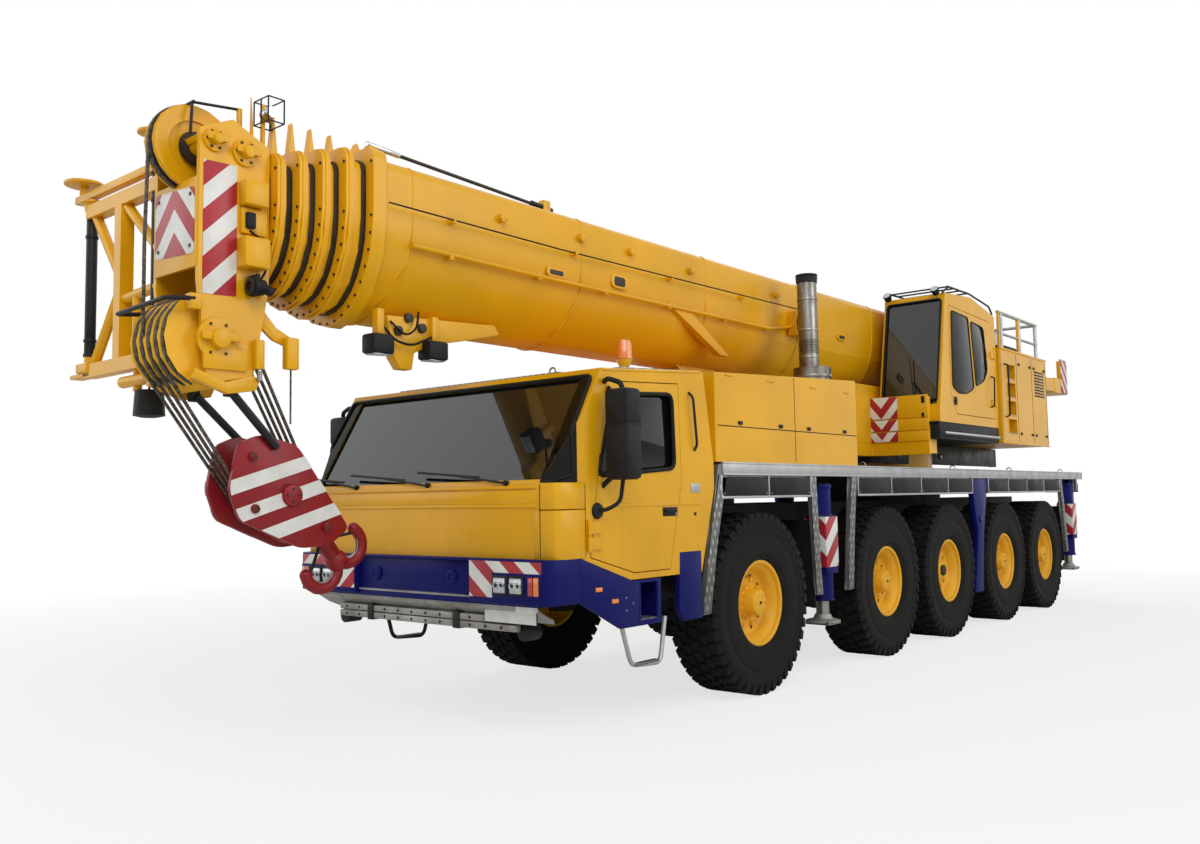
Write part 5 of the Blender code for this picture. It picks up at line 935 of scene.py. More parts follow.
    def cone(self):
        """The beacon's base: two cones, narrow where they meet."""
        shape = bmesh.new()
        for low, high, depth, lift in ((0.03, 0.062, 0.06, 0.06), (0.055, 0.028, 0.035, 0.015)):
            part = bmesh.new()
            bmesh.ops.create_cone(part, cap_ends=True, segments=32, radius1=low, radius2=high, depth=depth)
            bmesh.ops.translate(part, vec=(0, 0, lift), verts=part.verts)
            merge(shape, part)
        return shape

    def door(self, word, side):
        """A door's glass, seal, handle and belt line, and its two mirrors on their arms."""
        made = Piece(f"door_dress_{word}", f"carrier_door_{word}")
        made.side = side
        soft = rounded([(-2.1, 1.78), (-1.94, 2.35), (-1.24, 2.39), (-1.22, 1.84)], 0.07)
        made.plate("dark_glass", soft, "X", 1.352, 1.358, 0.001)
        made.pipe("seal", [(1.374, y, z) for y, z in soft], 0.016, sides=3, closed=True)
        made.rod("seal", (1.366, -1.62, 1.81), (1.366, -1.62, 2.37), 0.008, sides=10)
        made.box("yellow", (1.368, -2.06, 1.565), (1.381, -1.2, 1.59), 0.005)
        made.box("plastic", (1.37, -1.38, 1.49), (1.379, -1.2, 1.555), 0.008)
        made.box("plastic", (1.376, -1.36, 1.52), (1.394, -1.235, 1.542), 0.007)
        made.rod("steel", (1.379, -1.225, 1.505), (1.386, -1.225, 1.505), 0.01, soft=0.002)
        x0, x1 = 1.447, 1.653
        made.box("plastic", (x0, -2.12, 1.75), (x1, -1.962, 2.118), 0.03)
        made.box("plastic", (x0, -2.12, 2.122), (x1, -1.962, 2.362), 0.03)
        made.box("plastic", (x0 + 0.012, -2.108, 2.05), (x1 - 0.012, -1.974, 2.2), 0.01)
        made.box("mirror", (1.47, -1.966, 1.785), (1.63, -1.956, 2.09), 0.02)
        made.box("mirror", (1.47, -1.966, 2.15), (1.63, -1.956, 2.33), 0.02)
        post = [(1.38, -2.12, 1.545), (1.44, -2.1, 1.55), (1.52, -2.045, 1.6), (1.55, -2.04, 1.8)]
        made.pipe("plastic", post, 0.014, 0.05, 3)
        made.rod("plastic", (1.374, -2.12, 1.545), (1.4, -2.12, 1.545), 0.06, 0.045, soft=0.01)
        made.rod("plastic", (1.355, -2.05, 1.7), (1.515, -2.04, 1.82), 0.0175, sides=14)
        arm = [(1.37, -2.02, 2.425), (1.44, -2.06, 2.44), (1.55, -2.05, 2.4), (1.55, -2.04, 2.33)]
        made.pipe("plastic", arm, 0.018, 0.05, 3)
        made.rod("plastic", (1.355, -1.965, 2.395), (1.515, -2.04, 2.29), 0.0175, sides=14)
        made.done()


class CRANE_OT_boom_head(bpy.types.Operator):
    """Striped boards, boxes, pins, lamp, guards and rope at the boom's head"""

    bl_idname = "crane.boom_head"
    bl_label = "Boom head"

    def execute(self, context):
        made = Piece("head_dress", HEAD_BODY)
        x, front = HEAD_X, HEAD_FRONT
        board = [(-4.345, 2.86), (-4.13, 2.87), (-4.13, 3.667), (-4.345, 3.66)]
        for _ in made.sides():
            made.plate("side_stripes", board, "X", x, x + 0.005, 0.001)
        shield = rounded([(-0.232, 3.13), (0.232, 3.1), (0.232, 3.5), (-0.232, 3.53)], 0.03)
        made.plate("yellow", oblong((-0.255, 3.02), (0.255, 3.56)), "Y", front - 0.006, front + 0.02)
        made.plate("front_stripes", shield, "Y", front - 0.011, front - 0.006, 0.001)
        for bx, bz in ((-0.19, 3.17), (0.19, 3.15), (-0.19, 3.48), (0.19, 3.46)):
            made.rod("dark_steel", (bx, front - 0.011, bz), (bx, front - 0.016, bz), 0.012, sides=6)
        for _ in made.sides():
            self.flank(made, x)
            flank = [
                (0.046, 0.17), (0.046, 0.262), (0.062, 0.258), (0.062, 0.236), (0.052, 0.2), (0.052, 0.17)
            ]
            made.turned("yellow", flank, (0, *TOP_AXLE))
            hub = [(0.046, 0.05), (0.046, 0.105), (0.07, 0.098), (0.07, 0.05)]
            made.turned("dark_steel", hub, (0, *TOP_AXLE), (1, 0, 0), 32)
            made.rod("yellow", (0.05, *TOP_AXLE), (0.27, *TOP_AXLE), 0.048)
        for finish, half, low, high in (("dark_steel", 0.044, 0.2, 0.262), ("rope", 0.012, 0.252, 0.274)):
            band = [(-half, low), (-half, high), (half, high), (half, low)]
            made.turned(finish, band, (0, *TOP_AXLE))
        for i in range(5):
            cx = -0.19 + i * 0.0846 + 0.021
            points = arc(LOW_AXLE, 0.277, -30, 250, 28)
            made.pipe("rope", [(cx, y, z) for y, z in points], 0.013)
        made.pipe("rope", [(0, -4.545, 3.79), (-0.02, -4.55, 3.2), (-0.04, -4.54, 2.62)], 0.011)
        guard = [(-0.3, -4.4, 2.8), (-0.3, -4.575, 2.78), (0.29, -4.575, 2.8), (0.29, -4.4, 2.82)]
        made.pipe("black", guard, 0.014, 0.02, 3)
        link = [(-3.96, 2.72), (-3.86, 2.64), (-3.74, 2.6), (-3.72, 2.66), (-3.84, 2.72), (-3.93, 2.82)]
        lip = [
            (-4.4, 2.36), (-4.18, 2.28), (-4.0, 2.31), (-3.97, 2.38), (-4.02, 2.4), (-4.2, 2.35),
            (-4.39, 2.42),
        ]
        for _ in made.sides():
            made.box("yellow", (0.236, -4.43, 2.76), (0.3, -4.36, 2.85), 0.004)
            made.plate("yellow", lip, "X", 0.235, 0.285)
            made.plate("yellow", link, "X", 0.215, 0.245)
        made.rod("yellow", (0.1, -4.02, 3.9), (0.1, -4.02, 4.1), 0.018, sides=14)
        bar = (-4.33, 4.055)
        made.rod("black", (0.1, -4.02, 4.095), (0.1, *bar), 0.009, sides=10)
        made.rod("black", (-0.1, *bar), (0.12, *bar), 0.009, sides=10)
        for _ in made.sides():
            made.rod("black", (0.1, *bar), (0.1, -4.34, 3.86), 0.009, sides=10)
        for px, lean in ((0.19, 0.012), (0.17, -0.02)):
            made.rod("yellow", (px, -3.98, 3.84), (px + lean, -3.99 - lean, 4.15), 0.01, 0.004, sides=10)
        self.caged_lamp(made, Vector((0.22, -3.93, 4.04)))
        crown = [(-4.36, 3.82), (-4.16, 3.95), (-3.93, 3.84), (-3.93, 3.8), (-4.16, 3.91), (-4.34, 3.79)]
        made.plate("yellow", crown, "X", -0.236, 0.236)
        made.box("yellow", (0.245, -3.8, 2.46), (0.305, -3.71, 2.66), 0.012)
        made.rod("rope", (0.275, -3.755, 2.46), (0.275, -3.755, 2.12), 0.006, sides=8)
        made.done()
        self.bracket()
        return {"FINISHED"}

    def flank(self, made, x):
        """Pins, boxes, lamp and cable on one flank, whose face is at x."""
        out = Vector((1, 0, 0))
        for (y, z), radius in (((-4.08, 3.76), 0.085), (LOW_AXLE, 0.13), (TOP_AXLE, 0.07)):
            start = Vector((x, y, z))
            made.rod("yellow", start, start + out * 0.018, radius, soft=0.004)
            made.rod("yellow", start, start + out * 0.07, radius * 0.45, soft=0.006)
            made.bolts("dark_steel", start + out * 0.018, out, radius * 0.75, 6, 0.009, 0.008)
            low = start + out * 0.04 - Vector((0, radius * 0.9, 0.012))
            made.box("yellow", low, low + Vector((0.014, radius * 1.9, 0.045)), 0.003)
        made.box("yellow", (x, -4.12, 3.43), (x + 0.085, -3.96, 3.58), 0.01)
        made.box("yellow", (x, -4.13, 3.045), (x + 0.105, -3.96, 3.23), 0.012)
        made.box("yellow", (x, -4.11, 3.26), (x + 0.03, -3.94, 3.42), 0.008)
        made.box("plastic", (x, -4.09, 3.29), (x + 0.055, -4.03, 3.39), 0.008)
        made.box("yellow", (x, -4.34, 2.42), (x + 0.02, -4.06, 2.55))
        made.box("yellow", (x, -4.02, 2.44), (x + 0.05, -3.96, 2.62), 0.01)
        made.rod("steel", (x + 0.028, -3.985, 2.43), (x + 0.028, -3.985, 2.37), 0.016)
        lamp = Vector((x + 0.07, -4.03, 2.93))
        made.rod(
            "plastic", lamp + Vector((0, -0.045, 0)), lamp + Vector((0, 0.05, 0.005)), 0.065, 0.045,
            soft=0.012,
        )
        bezel = [(0, 0.03), (0, 0.052), (0.01, 0.056), (0.014, 0.048), (0.014, 0.03)]
        made.turned("dark_steel", bezel, lamp + Vector((0, -0.044, 0)), (0, -1, 0), 28)
        made.rod("frit", lamp + Vector((0, -0.044, 0)), lamp + Vector((0, -0.05, 0)), 0.034)
        made.rod("plastic", lamp + Vector((0, 0.05, 0)), lamp + Vector((0, 0.1, -0.02)), 0.03, soft=0.006)
        made.box("black", (x, -4.045, 2.97), (x + 0.09, -4.02, 3.01), 0.004)
        cable = [
            (x + 0.03, -4.06, 3.28), (x + 0.06, -3.98, 3.22), (x + 0.04, -3.95, 3.05), (x + 0.05, -4.0, 2.98)
        ]
        made.pipe("seal", cable, 0.007, 0.05)

    def caged_lamp(self, made, place):
        """A lamp on a post behind a wire cage."""
        made.box(
            "yellow", place + Vector((-0.012, -0.012, -0.26)), place + Vector((0.012, 0.012, 0.08)), 0.003
        )
        made.rod(
            "chrome", place + Vector((0.03, 0, 0.0)), place + Vector((0.12, -0.01, 0.0)), 0.045, 0.035,
            soft=0.008,
        )
        made.rod("lamp", place + Vector((0.12, -0.01, 0.0)), place + Vector((0.127, -0.01, 0.0)), 0.034)
        for z in (-0.07, 0.08):
            loop = [
                place + Vector(c) for c in ((0, -0.06, z), (0.16, -0.06, z), (0.16, 0.05, z), (0, 0.05, z))
            ]
            made.pipe("black", loop, 0.005, closed=True)
        for cx, cy in ((0.0, -0.06), (0.16, -0.06), (0.16, 0.05), (0.0, 0.05), (0.08, -0.06)):
            made.rod("black", place + Vector((cx, cy, -0.07)), place + Vector((cx, cy, 0.08)), 0.005, sides=8)

    def bracket(self):
        """The fly-jib bracket's rods, discs and rubber cup on the right."""
        made = Piece("jib_bracket_dress", HEAD_BODY)
        y = -4.3
        for bx, low, high, radius in ((-1.3, 2.66, 3.66, 0.036), (-0.37, 2.53, 3.73, 0.036)):
            made.rod("black", (bx, y, low), (bx, y, high), radius, soft=0.004)
            for z in (high, high - 0.18, low + 0.1, low):
                made.rod("black", (bx, y, z - 0.012), (bx, y, z + 0.012), radius + 0.006, soft=0.003)
            disc = [(0, 0), (0, 0.075), (0.012, 0.078), (0.03, 0.055), (0.07, 0.048), (0.07, 0)]
            made.turned("yellow", disc, (bx, y, high + 0.07), (0, 0, -1), 28)
        for bx, z, radius in ((-1.44, 3.87, 0.13), (-0.46, 4.0, 0.09)):
            made.rod("yellow", (bx, y, z), (bx, y, z + 0.022), radius, soft=0.006)
            made.rod("yellow", (bx, y, z - 0.1), (bx, y, z), 0.03)
        made.box("yellow", (-1.52, y - 0.03, 3.745), (-0.42, y + 0.03, 3.8), 0.008)
        made.box("yellow", (-1.5, y - 0.045, 2.505), (-1.2, y + 0.045, 2.535), 0.005)
        for bx in (-1.3, -0.37):
            made.box("yellow", (bx - 0.08, y - 0.06, 2.535), (bx + 0.08, y + 0.06, 2.6), 0.008)
        made.rod("yellow", (-0.62, y, 2.55), (-0.62, y, 2.98), 0.03)
        made.rod("yellow", (-0.78, y, 2.98), (-0.3, y, 3.0), 0.034)
        made.rod("yellow", (-0.78, y, 3.6), (-0.32, y, 3.22), 0.034)
        made.rod("yellow", (-0.8, y, 2.43), (-0.27, y, 2.43), 0.038)
        made.rod("yellow", (-0.62, y + 0.01, 2.5), (-0.62, y + 0.01, 2.36), 0.028)
        cup = [(0, 0), (0, 0.085), (0.16, 0.095), (0.17, 0.05), (0.17, 0)]
        made.turned("plastic", cup, (-0.44, y, 2.35), (0, 0, -1), 32)
        cable = [(-0.44, y, 2.35), (-0.42, y - 0.02, 2.46), (-0.36, y - 0.05, 2.52), (-0.3, y - 0.04, 2.66)]
        made.pipe("seal", cable, 0.007, 0.04)
        made.done()


COLLARS = (-3.24, -3.45, -3.6, -3.74, -3.87)
SECTION_STEP = 0.04
BASE_HALF = 0.46
LUFFING_FOOT = (5.0, 2.38)
LUFFING_EYE = (1.05, 2.72)


def boom_ring(index, grow, steps=14):
    """A section's outline as (x, z) points, grown by a width: flat top, straight flanks, round belly."""
    half = BASE_HALF - index * SECTION_STEP + grow
    top = 3.92 - index * SECTION_STEP + grow
    bottom = 2.86 + index * SECTION_STEP - grow
    knee = top - 0.4 * (top - bottom)
    corner = 0.08
    belly = [
        (half * math.cos(math.pi * i / steps), knee - (knee - bottom) * math.sin(math.pi * i / steps))
        for i in range(steps + 1)
    ]
    left = arc((half - corner, top - corner), corner, 90, 0, 4)
    right = arc((corner - half, top - corner), corner, 180, 90, 4)
    return left + belly + right


class CRANE_OT_boom(bpy.types.Operator):
    """Dark rings next to the collars, partly slide pad and partly painted shade, weld seams, lugs, slots,
    pipe, cable and lamps of the boom
    """

    bl_idname = "crane.boom"
    bl_label = "Boom"

    def execute(self, context):
        for index in range(1, 6):
            body = f"boom_section_{index}" if index < 5 else HEAD_BODY
            made = Piece(f"pads_{index}", body)
            rear = COLLARS[index - 1] - (0.055 if index == 1 else 0.03)
            # A dark steel ring next to the collar: partly the slide pad, partly painted shade in the dark gap
            # between the collars.
            front = rear - 0.038
            made.plate(
                "dark_steel", boom_ring(index, 0.006), "Y", front, rear, 0.001,
                holes=[boom_ring(index, -0.004)],
            )
            if index < 5:
                place = COLLARS[index]
                made.plate(
                    "yellow", boom_ring(index, 0.052), "Y", place - 0.01, place + 0.01, 0.003,
                    holes=[boom_ring(index, 0.04)],
                )
                self.bolts(made, index, place - 0.031)
            made.done()
        made = Piece("boom_dress", "boom_base")
        self.bolts(made, 0, COLLARS[0] - 0.056)
        for y in (-2.93, -1.18, 0.62, 2.4, 4.2):
            self.seam(made, y, 0.35 if y < 0 else 0.0)
        half = BASE_HALF
        for low, high, base, top in (
            (-1.6, -1.38, 3.37, 3.45), (-0.8, -0.59, 3.4, 3.52), (3.3, 3.5, 3.4, 3.48)
        ):
            oval = rounded(oblong((low, base), (high, top)), 0.05)
            inner = rounded(oblong((low + 0.03, base + 0.02), (high - 0.03, top - 0.02)), 0.03)
            for _ in made.sides():
                made.plate("yellow", oval, "X", half - 0.004, half + 0.008, 0.003)
                made.plate("dark_steel", inner, "X", half + 0.004, half + 0.009, 0.001)
        pipe = [(0.475, -2.95, 3.36), (0.482, -1.64, 3.345), (0.482, 1.76, 3.345), (0.482, 2.2, 3.42)]
        made.pipe("yellow", pipe, 0.017, 0.1, 3)
        for y in (-2.6, -1.7, -0.9, 0.0, 0.9, 1.7):
            made.box("yellow", (half - 0.01, y - 0.02, 3.318), (half + 0.03, y + 0.02, 3.372), 0.004)
        made.box("yellow", (half - 0.01, 2.17, 3.32), (half + 0.1, 2.45, 3.58), 0.012)
        reel = [
            (0, 0.05), (0, 0.13), (0.03, 0.13), (0.03, 0.11), (0.07, 0.11), (0.07, 0.13), (0.1, 0.13),
            (0.1, 0.05),
        ]
        made.turned("dark_steel", reel, (half + 0.09, 2.31, 3.46), (1, 0, 0), 36)
        cable = [
            (half + 0.14, 2.33, 3.585), (half + 0.06, 0.5, 3.6), (half + 0.05, -1.5, 3.59),
            (half + 0.06, -3.18, 3.6),
        ]
        made.pipe("seal", cable, 0.006)
        for y in (-2.6, -1.3, 0.0, 1.2):
            made.box("yellow", (half - 0.005, y - 0.015, 3.575), (half + 0.062, y + 0.015, 3.61), 0.004)
        for _ in made.sides():
            gusset = [(0.05, 3.34), (0.34, 3.34), (0.98, 2.98), (0.82, 2.98)]
            made.plate("yellow", gusset, "X", 0.4, 0.475, 0.006)
            for y, z in ((-2.1, 3.72), (-1.2, 3.74), (-0.55, 3.74), (0.35, 3.72), (1.9, 3.72), (4.9, 3.72)):
                made.box("yellow", (half - 0.004, y - 0.02, z - 0.03), (half + 0.045, y + 0.02, z + 0.03))
                made.rod("yellow", (half + 0.03, y - 0.035, z), (half + 0.03, y + 0.035, z), 0.016, sides=12)
        made.rod("chrome", (0.3, -3.2, 4.045), (0.3, -2.92, 4.03), 0.02, soft=0.003)
        made.rod("dark_steel", (0.3, -2.92, 4.03), (0.3, -1.52, 3.975), 0.013)
        made.rod("black", (0.3, -1.6, 3.98), (0.3, -1.36, 3.965), 0.024, soft=0.004)
        for y in (-3.16, -1.44):
            made.box("yellow", (0.27, y - 0.04, 3.9), (0.33, y + 0.04, 4.03))
        for y in (-3.1, -2.62):
            made.box("plastic", (0.23, y - 0.09, 2.62), (0.37, y + 0.09, 2.755), 0.02)
            made.box("lamp", (0.25, y - 0.07, 2.612), (0.35, y + 0.07, 2.622), 0.004)
            made.box("yellow", (0.27, y - 0.03, 2.74), (0.33, y + 0.03, 2.93))
        bracket = [
            (-3.02, 2.9), (-2.96, 2.62), (-2.9, 2.54), (-2.8, 2.54), (-2.78, 2.66), (-2.6, 2.74),
            (-2.3, 2.8), (-1.95, 2.88), (-2.0, 2.95),
        ]
        made.plate("yellow", bracket, "X", 0.2, 0.29, 0.008)
        for y, z in ((-2.93, 2.8), (-2.84, 2.9), (-2.72, 2.84)):
            made.rod("dark_steel", (0.285, y, z), (0.315, y, z), 0.034, sides=16, soft=0.003)
        hose = [(0.3, -3.06, 2.82), (0.33, -2.98, 2.72), (0.34, -2.84, 2.7), (0.33, -2.66, 2.78)]
        made.pipe("seal", hose, 0.009, 0.06)
        hose = [(0.3, -3.0, 2.86), (0.34, -2.9, 2.76), (0.34, -2.8, 2.82), (0.31, -2.76, 2.95)]
        made.pipe("seal", hose, 0.008, 0.06)
        for x in (-0.3, 0.0, 0.3):
            made.box("yellow", (x - 0.02, -3.05, 3.915), (x + 0.02, 7.2, 3.928), 0.004)
        for y in (-2.3, -0.7, 0.9, 2.5, 4.1, 5.7):
            made.box("yellow", (-0.36, y - 0.02, 3.915), (0.36, y + 0.02, 3.93), 0.004)
        made.rod("yellow", (-0.2, 6.9, 4.0), (0.2, 6.9, 4.0), 0.05, soft=0.006)
        for _ in made.sides():
            made.box("yellow", (0.2, 6.84, 3.9), (0.235, 6.96, 4.04), 0.004)
            cap = (0.188, *LUFFING_EYE)
            made.rod("steel", (0.143, *LUFFING_EYE), cap, 0.075, soft=0.006)
            made.bolts("dark_steel", cap, (1, 0, 0), 0.05, 4, 0.009, 0.008)
        made.done()
        rod = Piece("luffing_dress", "luffing_barrel")
        foot, eye = Vector((0, *LUFFING_FOOT)), Vector((0, *LUFFING_EYE))
        way = (eye - foot).normalized()
        rod.rod("yellow", foot + way * 3.5, foot + way * 3.62, 0.172, soft=0.008)
        rod.rod("yellow", foot + way * 0.3, foot + way * 0.36, 0.166, soft=0.006)
        rod.rod("dark_steel", foot + way * 3.615, foot + way * 3.635, 0.125, soft=0.003)
        rod.bolts("dark_steel", foot + way * 3.62, way, 0.148, 10, 0.01, 0.01)
        for _ in rod.sides():
            line = foot + Vector((0.1, 0, 0.14))
            rod.rod("steel", line + way * 0.45, line + way * 3.45, 0.012, sides=10)
        rod.done()
        return {"FINISHED"}

    def bolts(self, made, index, place):
        """Small pad screws round a collar's face."""
        for px, pz in boom_ring(index, 0.022, 18)[4:24]:
            made.rod("dark_steel", (px, place, pz), (px, place - 0.006, pz), 0.01, sides=6)

    def seam(self, made, y, lean):
        """A weld seam round the base section."""
        points = [(px, y - lean * max(3.3 - pz, 0), pz) for px, pz in boom_ring(0, 0.0005, 20)]
        made.pipe("yellow", points, 0.0055, sides=1, closed=True)


WINCH_AXLE = (8.3, 3.28)
BOOM_PIVOT = (7.05, 3.42)
ROOF_GUARD_XS = (0.6, 1.31)


class CRANE_OT_upper(bpy.types.Operator):
    """Glass, seals, guards, boards, ladder treads, rails and machinery of the upper structure, with black
    sheets under its floor and frame that are partly dark machinery and partly painted shade
    """

    bl_idname = "crane.upper"
    bl_label = "Upper structure"

    def execute(self, context):
        made = Piece("upper_dress", "superstructure")
        foot, head = Vector((4.078, 2.656)), Vector((4.345, 3.91))
        out = Vector((-0.978, 0.208)) * 0.008
        low, high = foot + out, head + out
        corners = [(0.622, *low), (1.288, *low), (1.288, *high), (0.622, *high)]
        made.pipe("seal", bent_ring(corners, 0.05), 0.013, sides=3, closed=True)
        made.rod("plastic", (1.2, 4.06, 2.63), (0.98, 4.1, 2.95), 0.008, sides=10)
        made.rod("plastic", (1.02, 4.075, 2.72), (0.95, 4.155, 3.22), 0.007, sides=8)
        for x in ROOF_GUARD_XS:
            made.rod("plastic", (x, 4.33, 3.985), (x, 4.52, 4.075), 0.012, sides=12)
        for y, z in ((4.5, 4.075), (4.72, 4.085), (4.94, 4.09), (5.16, 4.088)):
            made.rod("plastic", (ROOF_GUARD_XS[0], y, z), (ROOF_GUARD_XS[1], y, z), 0.01, sides=12)
        for x in ROOF_GUARD_XS:
            rail = [(x, 4.5, 4.078), (x, 5.2, 4.088), (x, 5.9, 4.02), (x, 6.0, 3.93)]
            made.pipe("plastic", rail, 0.012, 0.05, 3)
        for x in (0.66, 1.25):
            made.rod("plastic", (x, 4.3, 3.97), (x, 4.24, 4.02), 0.038, 0.05, soft=0.006)
            made.rod("lamp", (x, 4.24, 4.02), (x, 4.235, 4.024), 0.042)
        window = rounded([(4.46, 2.98), (4.48, 3.76), (5.86, 3.7), (5.86, 3.0)], 0.06)
        made.plate("tinted", window, "X", 0.574, 0.5805, 0.001)
        made.pipe("seal", [(0.576, y, z) for y, z in window], 0.01, closed=True)
        rear = rounded(oblong((0.68, 2.95), (1.24, 3.74)), 0.06)
        made.plate("tinted", rear, "Y", 6.0185, 6.023, 0.001)
        made.pipe("seal", [(x, 6.022, z) for x, z in rear], 0.01, closed=True)
        for low, high in ((2.225, 2.345), (2.35, 2.49), (2.495, 2.76)):
            made.box("yellow", (0.44, 3.962, low), (1.225, 3.985, high), 0.008)
            board = oblong((0.445, low + 0.006), (0.86, high - 0.006))
            made.plate("cover_stripes", board, "Y", 3.957, 3.962, 0.001)
        made.box("plastic", (1.15, 3.957, 2.66), (1.19, 3.964, 2.74), 0.004)
        made.box("plastic", (1.15, 3.957, 2.5), (1.18, 3.964, 2.55), 0.004)
        made.box("plastic", (0.6, 3.99, 2.425), (1.332, 6.0, 2.447))
        made.box("plastic", (1.2, 4.02, 2.262), (1.334, 6.0, 2.43), 0.012)
        # A black sheet under the cab's floor: painted shade.
        made.box("black", (0.56, 4.02, 2.245), (1.33, 6.0, 2.262), 0.005)
        made.pipe("chrome", [(1.352, 4.1, 2.315), (1.352, 5.94, 2.315)], 0.02, sides=3)
        for y in (4.16, 5.03, 5.88):
            made.box("black", (1.325, y - 0.02, 2.295), (1.356, y + 0.02, 2.335), 0.004)
        # Black panels on the upper frame's sides and front below the cab: partly its dark machinery, partly
        # painted shade under the cab.
        for _ in made.sides():
            made.box("black", (0.6, 4.05, 1.99), (0.62, 7.95, 2.25))
            made.box("black", (0.52, 7.9, 1.99), (0.62, 7.95, 2.25))
        made.box("black", (0.3, 4.0, 1.99), (0.62, 4.03, 2.22))
        for y in (4.5, 5.2, 5.8):
            made.rod("steel", (0.62, y, 2.1), (0.64, y, 2.1), 0.03, sides=16, soft=0.003)
        self.box(made)
        self.tail(made)
        made.done()
        door = Piece("upper_door_dress", "upper_door")
        panes = (
            ([(4.47, 2.88), (4.51, 3.79), (5.05, 3.765), (5.16, 2.9), (4.92, 2.82), (4.66, 2.81)], 0.05),
            ([(5.13, 3.735), (5.57, 3.7), (5.66, 3.16), (5.52, 3.02), (5.24, 2.93)], 0.06),
        )
        door.box("yellow", (1.322, 5.02, 2.85), (1.333, 5.24, 3.79), 0.003)
        for pane, corner in panes:
            outline = rounded(pane, corner)
            door.plate("frit", outline, "X", 1.326, 1.337, 0.001)
            door.pipe("seal", [(1.336, y, z) for y, z in outline], 0.007, closed=True)
        door.box("plastic", (1.328, 4.5, 2.66), (1.336, 4.6, 2.76))
        door.box("black", (1.334, 4.52, 2.69), (1.346, 4.58, 2.73))
        grab = [(1.33, 5.76, 2.7), (1.375, 5.76, 2.72), (1.375, 5.8, 3.08), (1.33, 5.8, 3.1)]
        door.pipe("plastic", grab, 0.01, 0.03, 3)
        door.done()
        return {"FINISHED"}

    def box(self, made):
        """Ladder treads, seams, latches, louvres, rails and roof of the machinery box."""
        out = 1.365
        pitch = 0.2418
        for i in range(4):
            base = 2.384 + i * pitch
            made.box(
                "deck_plate", (out - 0.158, 6.302, base + 0.001), (out + 0.004, 6.618, base + 0.014), 0.003
            )
            recess = oblong((6.3, base), (6.62, base + 0.198))
            made.pipe("yellow", [(out, y, z) for y, z in recess], 0.008, closed=True)
        for y in (6.085, 6.7, 7.34, 7.98):
            made.box("seal", (out - 0.004, y - 0.004, 2.29), (out + 0.002, y + 0.004, 3.47), 0.001)
        for y in (6.8, 7.26, 7.44, 7.9):
            for z in (2.4, 3.34):
                made.box("plastic", (out, y - 0.03, z - 0.018), (out + 0.012, y + 0.03, z + 0.018), 0.005)
        for i in range(9):
            z = 2.95 + i * 0.042
            made.box("black", (out - 0.002, 7.46, z), (out + 0.006, 7.88, z + 0.022), 0.003)
        made.box("yellow", (out - 0.006, 6.05, 3.485), (out + 0.012, 8.01, 3.512), 0.005)
        made.box("yellow", (out - 0.006, 6.05, 2.25), (out + 0.012, 8.01, 2.275), 0.005)
        inner, outer = 0.7, 1.265
        for x, radius in ((outer, 0.024), (inner, 0.02)):
            for y in (6.46, 7.2, 7.92):
                made.rod("alu", (x, y, 3.49), (x, y, 4.03), radius, sides=16)
            for z, radius in ((3.74, 0.018), (4.02, 0.024)):
                made.rod("alu", (x, 6.34, z), (x, 7.96, z), radius, sides=16)
        made.rod("alu", (inner, 7.92, 4.02), (outer, 7.92, 4.02), 0.022, sides=16)
        made.box("alu", (0.64, 6.46, 3.5), (0.72, 7.92, 3.512), 0.003)
        made.box("deck_plate", (0.56, 6.1, 3.499), (1.34, 7.96, 3.508), 0.003)
        made.box("plastic", (0.84, 6.9, 3.505), (1.14, 7.5, 3.66), 0.03)
        grab = [(out, 6.22, 3.3), (out + 0.05, 6.22, 3.28), (out + 0.05, 6.22, 2.62), (out, 6.22, 2.6)]
        made.pipe("plastic", grab, 0.011, 0.04, 3)

    def tail(self, made):
        """Striped rear boards, lamps, pin caps, side strips and the rope on the winch drum."""
        for _ in made.sides():
            made.plate("tail_stripes", oblong((1.04, 3.12), (1.3, 3.315)), "Y", 9.3, 9.306, 0.001)
            made.box("red_lens", (0.9, 9.3, 3.15), (1.0, 9.325, 3.21), 0.008)
            made.box("tail_stripes_side", (1.3, 8.98, 3.115), (1.308, 9.28, 3.62), 0.001)
            made.box("yellow", (1.285, 8.97, 3.1), (1.3, 9.29, 3.63), 0.003)
            made.box("yellow", (1.24, 8.985, 3.1), (1.29, 9.02, 3.6), 0.004)
            for axle, end, radius, circle in ((BOOM_PIVOT, 0.565, 0.13, 0.1), (WINCH_AXLE, 0.6, 0.16, 0.12)):
                made.rod("steel", (0.52, *axle), (end, *axle), radius, soft=0.008)
                made.bolts("dark_steel", (end, *axle), (1, 0, 0), circle, 8, 0.012, 0.01)
            for y0, y1, z0, z1 in ((3.5, 4.9, 2.22, 2.8), (5.0, 6.2, 2.22, 2.95)):
                made.box("yellow", (0.52, y0, z0), (0.526, y1, z1), 0.003)
        turn = [(-0.0115, 0.205), (-0.0115, 0.225), (0, 0.232), (0.0115, 0.225), (0.0115, 0.205)]
        for i in range(30):
            x = -0.34 + i * 0.0235
            made.turned("rope", turn, (x, *WINCH_AXLE), (1, 0, 0), 28)


